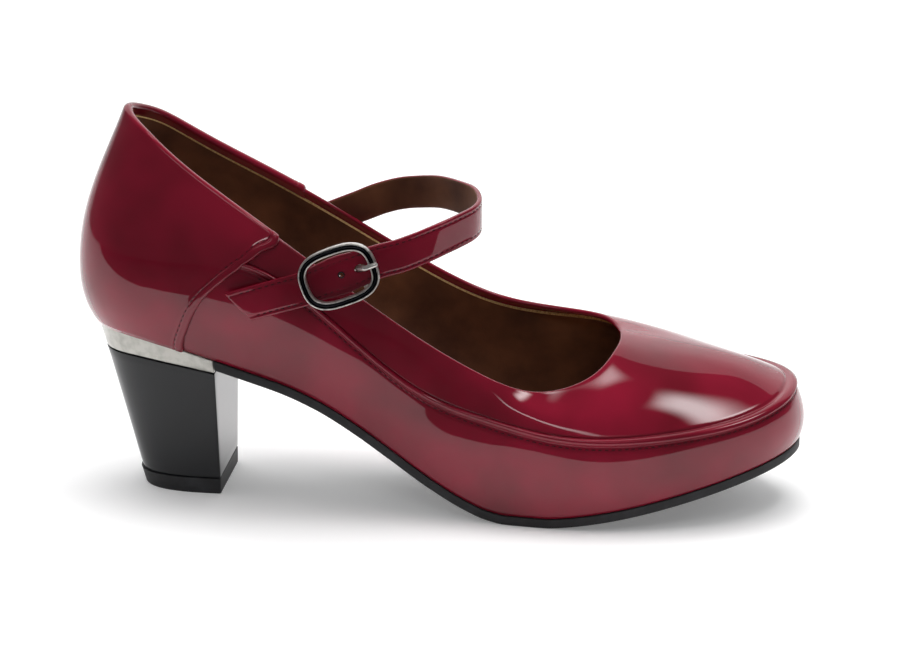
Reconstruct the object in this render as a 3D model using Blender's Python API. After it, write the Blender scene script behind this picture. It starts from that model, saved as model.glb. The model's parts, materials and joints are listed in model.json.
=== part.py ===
"""Patent court shoe with a buckled strap, for the right foot, on a tapered block heel.

Metres, +Z up. +X points to the toe and -Y to the outer side of the foot. The origin is on the floor, under the
middle of the heel.
"""
from collections import namedtuple
from math import atan2, cos, degrees, pi, radians

import bmesh
import bpy
import numpy as np
from mathutils import Matrix, Vector

MM = 0.001

# Last: the form that every piece of the shoe follows
LENGTH = 238 * MM
BACK_X = -35.5 * MM
BALL_WIDTH = 75 * MM
BACK_HEIGHT = 70.5 * MM
INSTEP_HEIGHT = 47 * MM
HEEL_PITCH = 53 * MM
TOE_SPRING = 18.4 * MM
TOE_CURVE = 1.3
BALL_FLAT_START = 0.605
BALL_FLAT_END = 0.66

# Upper
GAP = 0.3 * MM
UPPER_WALL = 1.8 * MM
RIM_CROWN = 0.5 * MM
RIDGE_HEIGHT = 1.0 * MM
RIDGE_WIDTH = 2.4 * MM
RIDGE_TOP_SHARE = 0.4
RIB_PULL = 0.36
COLUMNS_PER_RIB = 3
WALL_ROWS = 4
PLUG_ROWS = 5
LINING_ROWS = 4

# Counter, the back panel over the quarters
COUNTER_THICK = 1.0 * MM
COUNTER_COLUMNS = 36
COUNTER_ROWS = 10
COUNTER_TOP = 0.985

# Sole and insole
SOLE_THICK = 3.2 * MM
SOLE_EDGE = 0.7 * MM
INSOLE_THICK = 2.4 * MM
INSOLE_EDGE = 0.5 * MM
SOLE_STATIONS = 40

# Heel
BREAST_X = 12.5 * MM
BAND_BACK = 8.6 * MM
BAND_BREAST = 4.7 * MM
HEEL_TOP_BACK = -27.1 * MM
HEEL_TOP_HALF = 22.5 * MM
HEEL_FOOT_BACK = -16.2 * MM
HEEL_FOOT_HALF = 16.4 * MM
HEEL_TOP_POWER = 2.3
HEEL_FOOT_POWER = 2.7
LIFT_HEIGHT = 5.5 * MM
LIFT_STEP = 0.5 * MM
LIFT_TAPER = 1.0 * MM
HEEL_STATIONS = 18

# Strap
STRAP_WIDTH = 10.9 * MM
STRAP_THICK = 1.8 * MM
STRAP_EDGE = 0.5 * MM
STRAP_STEPS = 4
TIP_SLANT = 0.47
TIP_BLEND = 2
HOLE_WIDTH = 2.6 * MM
HOLE_LENGTH = 3.8 * MM

# Buckle
BUCKLE_STATION = 17.55
FRAME_LENGTH = 25.5 * MM
FRAME_HEIGHT = 19.3 * MM
FRAME_RIM = 2.6 * MM
FRAME_DEPTH = 2.2 * MM
FRAME_GROOVE = 0.8 * MM
FRAME_POWER = 2.9
FRAME_STATIONS = 40
BAR_AT = 6.4 * MM
BAR_DIAMETER = 1.5 * MM
PRONG_DIAMETER = 2.0 * MM
PRONG_OVERHANG = 0.6 * MM

# One rib for each section of the last, from the back of the heel round the outer side to the toe and home along
# the inner side. Each rib starts at the foot edge, crosses the raised seam (at the heel, the widest bulge) and
# ends at the topline. An x is a share of LENGTH from the back, a y a share of BALL_WIDTH, and a rise a share of
# the rib's own height. A lean is in degrees, outward if positive.
Rib = namedtuple("Rib", "foot_x foot_y seam_x seam_y seam_rise top_x top_y top_rise "
                        "foot_lean wall_lean plug_lean top_lean height")
RIBS = [
    Rib(0.024, 0.000, 0.007, 0.000, 0.333, 0.073, 0.000, 1.000, 35, -4, -4, -22, BACK_HEIGHT),
    Rib(0.045, -0.165, 0.026, -0.200, 0.349, 0.084, -0.100, 0.977, 30, -6, -6, -24, BACK_HEIGHT),
    Rib(0.100, -0.276, 0.090, -0.336, 0.406, 0.115, -0.192, 0.932, 26, -8, -8, -24, BACK_HEIGHT),
    Rib(0.180, -0.317, 0.175, -0.390, 0.500, 0.174, -0.268, 0.852, 25, -10, -10, -26, BACK_HEIGHT),
    Rib(0.280, -0.333, 0.275, -0.420, 0.543, 0.271, -0.347, 0.745, 26, -8, -8, -26, BACK_HEIGHT),
    Rib(0.380, -0.340, 0.376, -0.433, 0.462, 0.372, -0.393, 0.672, 28, -4, -6, -16, BACK_HEIGHT),
    Rib(0.480, -0.378, 0.480, -0.440, 0.403, 0.477, -0.413, 0.655, 25, -4, -4, -12, BACK_HEIGHT),
    Rib(0.580, -0.440, 0.578, -0.473, 0.676, 0.561, -0.408, 0.992, 20, -8, -10, -28, INSTEP_HEIGHT),
    Rib(0.680, -0.480, 0.670, -0.513, 0.593, 0.632, -0.376, 0.857, 20, -12, -22, -50, INSTEP_HEIGHT),
    Rib(0.770, -0.467, 0.763, -0.493, 0.488, 0.689, -0.313, 0.791, 20, -14, -36, -62, INSTEP_HEIGHT),
    Rib(0.860, -0.387, 0.855, -0.420, 0.410, 0.723, -0.227, 0.757, 18, -16, -50, -70, INSTEP_HEIGHT),
    Rib(0.9315, -0.273, 0.9255, -0.315, 0.364, 0.740, -0.127, 0.736, 18, -22, -57, -74, INSTEP_HEIGHT),
    Rib(0.978, -0.134, 0.972, -0.170, 0.368, 0.747, -0.033, 0.704, 21, -27, -60, -76, INSTEP_HEIGHT),
    Rib(0.9955, 0.027, 0.986, 0.020, 0.383, 0.747, 0.053, 0.692, 22, -29, -61, -77, INSTEP_HEIGHT),
    Rib(0.9835, 0.167, 0.9735, 0.187, 0.404, 0.742, 0.137, 0.710, 21, -27, -63, -77, INSTEP_HEIGHT),
    Rib(0.943, 0.320, 0.935, 0.347, 0.446, 0.730, 0.217, 0.785, 18, -21, -64, -75, INSTEP_HEIGHT),
    Rib(0.870, 0.453, 0.863, 0.473, 0.539, 0.706, 0.293, 0.892, 18, -16, -55, -71, INSTEP_HEIGHT),
    Rib(0.780, 0.507, 0.771, 0.527, 0.638, 0.664, 0.347, 1.008, 18, -12, -38, -60, INSTEP_HEIGHT),
    Rib(0.683, 0.453, 0.679, 0.500, 0.732, 0.613, 0.367, 1.126, 22, -8, -22, -44, INSTEP_HEIGHT),
    Rib(0.586, 0.340, 0.582, 0.440, 0.815, 0.555, 0.367, 1.198, 28, -6, -12, -26, INSTEP_HEIGHT),
    Rib(0.485, 0.260, 0.481, 0.400, 0.515, 0.477, 0.367, 0.756, 34, -4, -6, -14, BACK_HEIGHT),
    Rib(0.384, 0.260, 0.376, 0.393, 0.509, 0.372, 0.363, 0.736, 34, -4, -6, -16, BACK_HEIGHT),
    Rib(0.284, 0.293, 0.275, 0.407, 0.560, 0.271, 0.333, 0.777, 30, -8, -8, -26, BACK_HEIGHT),
    Rib(0.180, 0.310, 0.178, 0.384, 0.508, 0.174, 0.266, 0.864, 26, -10, -10, -26, BACK_HEIGHT),
    Rib(0.100, 0.276, 0.090, 0.336, 0.406, 0.115, 0.192, 0.936, 26, -8, -8, -24, BACK_HEIGHT),
    Rib(0.045, 0.165, 0.026, 0.200, 0.349, 0.084, 0.100, 0.978, 30, -6, -6, -24, BACK_HEIGHT),
]
TURN = len(RIBS)

# Underside of the last: along is a share of LENGTH, rise a share of HEEL_PITCH
Arch = namedtuple("Arch", "along rise")
ARCH = [
    Arch(-0.02, 1.0), Arch(0.03, 1.0), Arch(0.08, 0.985), Arch(0.14, 0.935), Arch(0.20, 0.862),
    Arch(0.25, 0.795), Arch(0.30, 0.722), Arch(0.35, 0.62), Arch(0.40, 0.485), Arch(0.45, 0.335),
    Arch(0.50, 0.187), Arch(0.55, 0.068), Arch(0.58, 0.018), Arch(BALL_FLAT_START, 0.0), Arch(BALL_FLAT_END, 0.0),
]

# Front edge of the counter: up is a share of the rib, rib counts ribs from the back
Edge = namedtuple("Edge", "up rib")
COUNTER_EDGE = [
    Edge(0.0, 2.80), Edge(0.17, 2.97), Edge(0.31, 3.20), Edge(0.435, 3.55),
    Edge(0.51, 3.78), Edge(0.715, 4.02), Edge(1.0, 4.27),
]

# The raised seam along the ribs: it runs from the counter round the toe, and fades under the counter
Ridge = namedtuple("Ridge", "rib height")
RIDGE = [Ridge(0, 0), Ridge(3.8, 0), Ridge(4.0, 1), Ridge(TURN - 4.0, 1), Ridge(TURN - 3.8, 0), Ridge(TURN, 0)]

# Route of the strap's middle, from the inner quarter over the instep to its tip on the outer quarter. x and z
# are shares of LENGTH and y of BALL_WIDTH. A stop with no y lies on the quarter of its side, and takes its
# lean from it. A lean is in degrees, inward at the top if positive.
Stop = namedtuple("Stop", "x y z side lean")
ROUTE = [
    Stop(0.267, None, 0.317, 1, None), Stop(0.300, None, 0.333, 1, None), Stop(0.336, 0.438, 0.349, 1, 7),
    Stop(0.372, 0.436, 0.364, 1, 6), Stop(0.401, 0.423, 0.377, 1, 5), Stop(0.431, 0.400, 0.387, 1, 3),
    Stop(0.460, 0.353, 0.394, 1, 0), Stop(0.491, 0.273, 0.401, 1, 0), Stop(0.521, 0.164, 0.404, 1, 0),
    Stop(0.545, 0.053, 0.405, 1, 0), Stop(0.556, -0.067, 0.401, -1, 0), Stop(0.552, -0.160, 0.397, -1, 0),
    Stop(0.535, -0.240, 0.392, -1, 0), Stop(0.511, -0.313, 0.385, -1, 0), Stop(0.487, -0.364, 0.377, -1, 2),
    Stop(0.461, -0.404, 0.369, -1, 4), Stop(0.436, -0.435, 0.364, -1, 5), Stop(0.401, -0.451, 0.3515, -1, 5),
    Stop(0.368, -0.459, 0.339, -1, 6), Stop(0.334, -0.464, 0.3245, -1, 7), Stop(0.300, None, 0.3135, -1, None),
    Stop(0.270, None, 0.304, -1, None), Stop(0.245, None, 0.2955, -1, None),
]


def smooth_table(x, rows):
    """Value at x of a two-column table, without overshoot between its rows."""
    keys = np.array([row[0] for row in rows], float)
    values = np.array([row[1] for row in rows], float)
    step = np.diff(keys)
    rate = np.diff(values) / step
    slope = np.zeros_like(keys)
    for i in range(1, len(keys) - 1):
        if rate[i - 1] * rate[i] > 0:
            after, before = 2 * step[i] + step[i - 1], step[i] + 2 * step[i - 1]
            slope[i] = (after + before) / (after / rate[i - 1] + before / rate[i])
    x = np.clip(np.asarray(x, float), keys[0], keys[-1])
    i = np.clip(np.searchsorted(keys, x) - 1, 0, len(step) - 1)
    t = (x - keys[i]) / step[i]
    start = values[i] * (1 + 2 * t) + slope[i] * step[i] * t
    end = values[i + 1] * (3 - 2 * t) + slope[i + 1] * step[i] * (t - 1)
    return start * (1 - t) ** 2 + end * t ** 2


def closed_curve(points):
    """Smooth closed curve through one point for each rib, as a function of the rib count."""
    points = np.asarray(points, float)
    count = len(points)
    mix = (4 * np.eye(count) + np.roll(np.eye(count), 1, 0) + np.roll(np.eye(count), -1, 0)) / 6
    control = np.linalg.solve(mix, points)

    def at(rib, slope=False):
        rib = np.asarray(rib, float) % count
        i = np.floor(rib).astype(int)
        t = (rib - i)[..., None]
        a, b, c, d = (control[(i + k) % count] for k in (-1, 0, 1, 2))
        if slope:
            return (-a * (1 - t) ** 2 + b * (3 * t * t - 4 * t) + c * (1 + 2 * t - 3 * t * t) + d * t * t) / 2
        return (a * (1 - t) ** 3 + b * (3 * t ** 3 - 6 * t * t + 4)
                + c * (-3 * t ** 3 + 3 * t * t + 3 * t + 1) + d * t ** 3) / 6
    return at


def foot_height(x):
    """Height of the last's underside: the upper, the insole, the sole and the heel all meet along it."""
    along = (np.asarray(x, float) - BACK_X) / LENGTH
    toe = np.clip((along - BALL_FLAT_END) / (RIBS[TURN // 2].foot_x - BALL_FLAT_END), 0, None) ** TOE_CURVE
    return SOLE_THICK + GAP + HEEL_PITCH * smooth_table(along, ARCH) + TOE_SPRING * toe


def rib_points():
    """The ribs' foot edge, seam and topline points, and their leans."""
    foot, seam, top, lean = [], [], [], []
    for rib in RIBS:
        foot_x = BACK_X + rib.foot_x * LENGTH
        ground = float(foot_height(foot_x))
        foot.append((foot_x, rib.foot_y * BALL_WIDTH))
        seam.append((BACK_X + rib.seam_x * LENGTH, rib.seam_y * BALL_WIDTH, ground + rib.seam_rise * rib.height))
        top.append((BACK_X + rib.top_x * LENGTH, rib.top_y * BALL_WIDTH, ground + rib.top_rise * rib.height))
        lean.append((rib.foot_lean, rib.wall_lean, rib.plug_lean, rib.top_lean))
    return foot, seam, top, lean


FOOT, SEAM, TOP, LEAN = (closed_curve(points) for points in rib_points())


def inward(curve, rib):
    """Level direction from a curve into the shoe."""
    slope = curve(rib, slope=True)
    side = np.stack([-slope[..., 1], slope[..., 0]], -1)
    return side / np.linalg.norm(side, axis=-1, keepdims=True)


def rising(side, lean):
    """Direction up the wall at a lean in degrees, outward if positive."""
    angle = np.radians(lean)[..., None]
    return np.concatenate([-np.sin(angle) * side, np.cos(angle)], -1)


def bezier(start, start_way, end, end_way, t):
    pull = np.linalg.norm(end - start, axis=-1, keepdims=True) * RIB_PULL
    return ((1 - t) ** 3 * start + 3 * t * (1 - t) ** 2 * (start + start_way * pull)
            + 3 * t * t * (1 - t) * (end - end_way * pull) + t ** 3 * end)


def form(rib, up):
    """The last's surface: rib counts ribs round the shoe, up is 0 at the foot, 0.5 at the seam, 1 at the top."""
    rib, up = np.broadcast_arrays(np.asarray(rib, float), np.asarray(up, float))
    foot = FOOT(rib)
    foot = np.concatenate([foot, foot_height(foot[..., 0])[..., None]], -1)
    seam, top, lean = SEAM(rib), TOP(rib), LEAN(rib)
    at_foot, at_seam, at_top = inward(FOOT, rib), inward(SEAM, rib), inward(TOP, rib)
    t = np.where(up <= 0.5, up * 2, up * 2 - 1)[..., None]
    wall = bezier(foot, rising(at_foot, lean[..., 0]), seam, rising(at_seam, lean[..., 1]), t)
    plug = bezier(seam, rising(at_seam, lean[..., 2]), top, rising(at_top, lean[..., 3]), t)
    return np.where(up[..., None] <= 0.5, wall, plug)


def outward(rib, up):
    """Unit normal of the last's surface, the mean of both sides at the seam."""
    step = 0.004
    rib, up = np.broadcast_arrays(np.asarray(rib, float), np.asarray(up, float))
    along = form(rib + step, up) - form(rib - step, up)
    climb = form(rib, np.minimum(up + step, 1)) - form(rib, np.maximum(up - step, 0))
    normal = np.cross(along, climb)
    return normal / np.linalg.norm(normal, axis=-1, keepdims=True)


def offset_form(rib, up, distance):
    return form(rib, up) + outward(rib, up) * distance


def new_collection(name):
    collection = bpy.data.collections.new(name)
    bpy.context.scene.collection.children.link(collection)
    return collection


def srgb(code):
    """Linear colour of a hex code."""
    channels = [int(code[i:i + 2], 16) / 255 for i in (1, 3, 5)]
    return tuple(c / 12.92 if c <= 0.04045 else ((c + 0.055) / 1.055) ** 2.4 for c in channels) + (1.0,)


def material(name, code, roughness, metallic=0.0, coat=0.0):
    made = bpy.data.materials.new(name)
    made.use_nodes = True
    made.diffuse_color = srgb(code)
    shader = made.node_tree.nodes["Principled BSDF"]
    shader.inputs["Base Color"].default_value = srgb(code)
    shader.inputs["Roughness"].default_value = roughness
    shader.inputs["Metallic"].default_value = metallic
    shader.inputs["Coat Weight"].default_value = coat
    return made


def solid(name, vertices, faces, finish, collection):
    """Closed object of hand-made faces: doubles merged, faces turned outward, all triangles."""
    shape = bmesh.new()
    made = [shape.verts.new(point) for point in vertices]
    for face in faces:
        shape.faces.new([made[i] for i in face])
    bmesh.ops.remove_doubles(shape, verts=shape.verts, dist=0.001 * MM)
    bmesh.ops.recalc_face_normals(shape, faces=shape.faces)
    bmesh.ops.triangulate(shape, faces=shape.faces)
    mesh = bpy.data.meshes.new(name)
    shape.to_mesh(mesh)
    shape.free()
    mesh.materials.append(finish)
    mesh.shade_smooth()
    mesh.set_sharp_from_angle(angle=radians(40))
    made_object = bpy.data.objects.new(name, mesh)
    collection.objects.link(made_object)
    return made_object


def loft(name, sections, finish, collection, closed=False, caps=(True, True)):
    """Skin over closed sections of equal count. A section mirrors about its middle, so a cap pairs its points."""
    sections = np.asarray(sections, float)
    count, around = sections.shape[:2]
    faces = []
    for i in range(count if closed else count - 1):
        for j in range(around):
            a, b, k = i * around, (i + 1) % count * around, (j + 1) % around
            faces.append((a + j, b + j, b + k, a + k))
    for section, capped in ((0, caps[0]), (count - 1, caps[1])):
        for j in range(around // 2 - 1):
            if capped and not closed:
                start = section * around
                faces.append((start + j, start + j + 1, start + around - 2 - j, start + around - 1 - j))
    return solid(name, sections.reshape(-1, 3), faces, finish, collection)


def ridge_rows(rib, height):
    """The raised seam's four rows across, in place of the form's own row at the seam."""
    seam = form(rib, 0.5)
    climb = form(rib, 0.502) - form(rib, 0.498)
    climb /= np.linalg.norm(climb, axis=-1, keepdims=True)
    normal = outward(rib, np.full_like(rib, 0.5))
    half = RIDGE_WIDTH / 2
    places = ((-half, 0), (-half * RIDGE_TOP_SHARE, 1), (half * RIDGE_TOP_SHARE, 1), (half, 0))
    return [seam + climb * across + normal * height[:, None] * raised for across, raised in places]


def make_upper(finish, collection):
    """One hollow wall, open at the collar and underneath, with the raised seam as a step in its outside."""
    rib = np.arange(TURN * COLUMNS_PER_RIB) / COLUMNS_PER_RIB
    height = RIDGE_HEIGHT * np.interp(rib, [row.rib for row in RIDGE], [row.height for row in RIDGE])
    rows = [form(rib, up) for up in np.linspace(0, 0.5, WALL_ROWS + 1)[:-1]]
    rows += ridge_rows(rib, height)
    rows += [form(rib, up) for up in np.linspace(0.5, 1, PLUG_ROWS + 1)[1:]]
    crown = offset_form(rib, np.ones_like(rib), -UPPER_WALL / 2)
    crown[:, 2] += RIM_CROWN
    rows.append(crown)
    lining = np.concatenate([np.linspace(1, 0.5, LINING_ROWS), np.linspace(0.5, 0, LINING_ROWS + 1)[1:-1]])
    rows += [offset_form(rib, up, -UPPER_WALL) for up in lining]
    foot = form(rib, np.zeros_like(rib))
    level_wall = UPPER_WALL / np.cos(np.radians(LEAN(rib)[:, :1]))
    foot[:, :2] += inward(FOOT, rib) * level_wall
    rows.append(foot)
    return loft("upper", np.stack(rows, 1), finish, collection, closed=True)


def make_counter(finish, collection):
    """Back panel: a second layer over the quarters, from one front edge round the heel to the other."""
    rows = np.linspace(0, COUNTER_TOP, COUNTER_ROWS + 1)
    edge = smooth_table(rows, COUNTER_EDGE)
    share = np.linspace(-1, 1, COUNTER_COLUMNS + 1)
    sections = []
    for place in share:
        outside = offset_form(place * edge, rows, GAP + COUNTER_THICK)
        inside = offset_form(place * edge, rows, GAP)
        sections.append(np.concatenate([outside, inside[::-1]]))
    return loft("counter", sections, finish, collection)


def outline(inset):
    """Outer and inner half of the foot edge, moved into the shoe: two tables of x and y from back to tip."""
    rib = np.linspace(0, TURN, TURN * 100, endpoint=False)
    points = FOOT(rib) + inward(FOOT, rib) * inset
    back, tip = int(np.argmin(points[:, 0])), int(np.argmax(points[:, 0]))
    points = np.roll(points, -back, 0)
    tip = (tip - back) % len(points)
    return points[:tip + 1], np.concatenate([points[tip:], points[:1]])[::-1]


def board(name, start_x, inset, edge, under, over, finish, collection):
    """Flat layer under the foot, between the heights under(x) and over(x), from start_x to its tip."""
    outer, inner = outline(inset)
    whole = start_x is None
    start, tip = outer[0, 0] if whole else start_x, outer[-1, 0]
    share = np.linspace(0, 1, SOLE_STATIONS + 1)
    along = (1 - np.cos(share * pi)) / 2 if whole else np.sin(share * pi / 2)
    sections = []
    for x in start + (tip - start) * along:
        left, right = np.interp(x, *outer.T), np.interp(x, *inner.T)
        cut = min(edge, (right - left) / 2)
        low, high = float(under(x)), float(over(x))
        sections.append([(x, left, high), (x, left, low + edge), (x, left + cut, low),
                         (x, right - cut, low), (x, right, low + edge), (x, right, high)])
    return loft(name, sections, finish, collection, caps=(not whole, False))


def sole_underside(x):
    """Height of the outsole's lower face: the sole keeps its thickness where the arch climbs."""
    step = 1 * MM
    climb = (foot_height(x + step) - foot_height(x - step)) / (2 * step)
    thick = SOLE_THICK * np.sqrt(1 + climb ** 2)
    return foot_height(x) - GAP - thick


def make_soles(finishes, collection):
    insole_inset = UPPER_WALL / cos(radians(max(rib.foot_lean for rib in RIBS))) + GAP
    board("insole", None, insole_inset, INSOLE_EDGE, foot_height, lambda x: foot_height(x) + INSOLE_THICK,
          finishes["sock"], collection)
    board("outsole", BREAST_X + GAP, 0, SOLE_EDGE, sole_underside, lambda x: foot_height(x) - GAP,
          finishes["rubber"], collection)


def heel_outline(back_x, half_width, power):
    """The heel's plan: round behind, straight across the breast. Rows of x and half width."""
    along = (1 - np.cos(np.linspace(0, 1, HEEL_STATIONS + 1) * pi / 2))
    width = half_width * (1 - (1 - along) ** power) ** (1 / power)
    return np.stack([back_x + (BREAST_X - back_x) * along, width], 1)


def band_underside(x):
    share = (x - HEEL_TOP_BACK) / (BREAST_X - HEEL_TOP_BACK)
    return foot_height(x) - GAP - (BAND_BACK + (BAND_BREAST - BAND_BACK) * share)


def heel_loft(name, levels, finish, collection):
    """Solid between plans: each level gives x, outer y and inner y for every station, and a height at x."""
    sections = []
    for station in range(HEEL_STATIONS + 1):
        outer = [(x[station], left[station], float(height(x[station]))) for x, left, right, height in levels]
        inner = [(x[station], right[station], float(height(x[station]))) for x, left, right, height in levels]
        sections.append(outer + inner[::-1])
    return loft(name, sections, finish, collection, caps=(False, True))


def make_heel(finishes, collection):
    """Metal band under the heel seat, tapered block, and top lift."""
    outer, inner = outline(0)
    seat_x = outer[0, 0] + (BREAST_X - outer[0, 0]) * (1 - np.cos(np.linspace(0, 1, HEEL_STATIONS + 1) * pi / 2))
    seat = (seat_x, np.interp(seat_x, *outer.T), np.interp(seat_x, *inner.T), lambda x: foot_height(x) - GAP)

    def level(back_x, half_width, power, height):
        plan = heel_outline(back_x, half_width, power)
        return plan[:, 0], -plan[:, 1], plan[:, 1], height

    lift_back = HEEL_FOOT_BACK + LIFT_TAPER
    lift_half = HEEL_FOOT_HALF - LIFT_STEP
    heel_loft("heel_band", [seat, level(HEEL_TOP_BACK, HEEL_TOP_HALF, HEEL_TOP_POWER, band_underside)],
              finishes["band"], collection)
    heel_loft("heel_block", [
        level(HEEL_TOP_BACK, HEEL_TOP_HALF, HEEL_TOP_POWER, lambda x: band_underside(x) - GAP),
        level(HEEL_FOOT_BACK, HEEL_FOOT_HALF, HEEL_FOOT_POWER, lambda x: LIFT_HEIGHT + GAP),
    ], finishes["block"], collection)
    heel_loft("top_lift", [
        level(HEEL_FOOT_BACK - LIFT_STEP, HEEL_FOOT_HALF, HEEL_FOOT_POWER, lambda x: LIFT_HEIGHT),
        level(lift_back, lift_half, HEEL_FOOT_POWER, lambda x: 0.0),
    ], finishes["rubber"], collection)


def quarter_side(x, z, side):
    """How far the quarter stands out at a place on its side."""
    start, end = (1, TURN / 2) if side < 0 else (TURN / 2, TURN - 1)
    rib, up = np.meshgrid(np.linspace(start, end, 260), np.linspace(0, 1, 120), indexing="ij")
    points = form(rib, up).reshape(-1, 3)
    nearest = np.argmin((points[:, 0] - x) ** 2 + (points[:, 2] - z) ** 2)
    return points[nearest, 1]


def strap_route():
    """Smooth middle line of the strap with its lean: rows of x, y, z and lean."""
    rows = []
    for stop in ROUTE:
        x, z, lean = BACK_X + stop.x * LENGTH, stop.z * LENGTH, stop.lean
        if stop.y is None:
            low, middle, high = (abs(quarter_side(x, z + rise, stop.side))
                                 for rise in (-STRAP_WIDTH / 2, 0, STRAP_WIDTH / 2))
            y = stop.side * (max(middle, (low + high) / 2) + RIDGE_HEIGHT + GAP + STRAP_THICK / 2)
            lean = degrees(atan2(low - high, STRAP_WIDTH))
        else:
            y = stop.y * BALL_WIDTH
        rows.append((x, y, z, lean))
    rows = np.array(rows)
    return np.concatenate([[2 * rows[0] - rows[1]], rows, [2 * rows[-1] - rows[-2]]])


def strap_frame(rows, station):
    """Place on the strap at a station: its middle, the way along, the way up its width and the way out."""
    i = min(int(station), len(rows) - 4)
    t = station - i
    a, b, c, d = rows[i:i + 4]
    point = b + 0.5 * t * (c - a + t * (2 * a - 5 * b + 4 * c - d + t * (3 * (b - c) + d - a)))
    slope = 0.5 * (c - a + t * (4 * a - 10 * b + 8 * c - 2 * d + t * 3 * (3 * (b - c) + d - a)))
    along = Vector(slope[:3]).normalized()
    width = (Vector((0, 0, 1)) - along * along.z).normalized()
    out = width.cross(along)
    lean = radians(point[3])
    up = width * np.cos(lean) - out * np.sin(lean)
    return Vector(point[:3]), along, up, width * np.sin(lean) + out * np.cos(lean)


def strap_profile():
    """Half turn of the strap's section: rows of place across the width and through the thickness."""
    wide, thick = STRAP_WIDTH / 2, STRAP_THICK / 2
    outside = [(wide, thick - STRAP_EDGE), (wide - STRAP_EDGE, thick), (STRAP_EDGE - wide, thick),
               (-wide, thick - STRAP_EDGE)]
    inside = [(-wide, STRAP_EDGE - thick), (STRAP_EDGE - wide, -thick), (wide - STRAP_EDGE, -thick),
              (wide, STRAP_EDGE - thick)]
    return outside + inside


def make_strap(finish, collection, cutters):
    """Buckled strap: stitched to the inner quarter, over the instep, through the buckle, tip on the outer one."""
    rows = strap_route()
    count = (len(ROUTE) - 1) * STRAP_STEPS
    sections = []
    for i in range(count + 1):
        place, along, up, out = strap_frame(rows, i / STRAP_STEPS)
        slant = TIP_SLANT * max(0.0, 1 - (count - i) / (TIP_BLEND * STRAP_STEPS))
        sections.append([place + up * across + out * through + along * across * slant
                         for across, through in strap_profile()])
    strap = loft("strap", sections, finish, collection)

    place, along, up, out = strap_frame(rows, BUCKLE_STATION)
    bpy.ops.mesh.primitive_cube_add(size=1)
    hole = bpy.context.object
    hole.name = "hole_cutter"
    hole.data.transform(frame_matrix(place - along * (BAR_AT + HOLE_LENGTH / 6), -along, up, out)
                        @ scale_matrix(HOLE_LENGTH, HOLE_WIDTH, 4 * STRAP_THICK))
    for holder in hole.users_collection:
        holder.objects.unlink(hole)
    cutters.objects.link(hole)
    hole.hide_render = True
    hole.display_type = "WIRE"
    cut = strap.modifiers.new("prong hole", "BOOLEAN")
    cut.operation = "DIFFERENCE"
    cut.object = hole
    return place, -along, up, out


def frame_matrix(origin, x_way, y_way, z_way):
    """Placement whose axes are the three given directions."""
    rows = [list(row) + [start] for row, start in zip(zip(x_way, y_way, z_way), origin)]
    return Matrix(rows + [[0, 0, 0, 1]])


def scale_matrix(x, y, z):
    return Matrix.Diagonal((x, y, z, 1))


def rod(name, points, diameter, finish, collection):
    """Round wire through the points, as a curve with filled ends."""
    curve = bpy.data.curves.new(name, "CURVE")
    curve.dimensions = "3D"
    curve.bevel_depth = diameter / 2
    curve.bevel_resolution = 2
    curve.use_fill_caps = True
    line = curve.splines.new("POLY")
    line.points.add(len(points) - 1)
    for point, place in zip(line.points, points):
        point.co = (*place, 1)
    curve.materials.append(finish)
    wire = bpy.data.objects.new(name, curve)
    collection.objects.link(wire)
    return wire


def as_mesh(wire, collection):
    """The wire as a closed mesh object, so that it can be joined to another piece."""
    evaluated = wire.evaluated_get(bpy.context.evaluated_depsgraph_get())
    mesh = bpy.data.meshes.new_from_object(evaluated)
    shape = bmesh.new()
    shape.from_mesh(mesh)
    bmesh.ops.remove_doubles(shape, verts=shape.verts, dist=0.001 * MM)
    shape.to_mesh(mesh)
    shape.free()
    made = bpy.data.objects.new(wire.name + "_mesh", mesh)
    made.matrix_world = wire.matrix_world
    collection.objects.link(made)
    bpy.data.objects.remove(wire)
    return made


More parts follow.
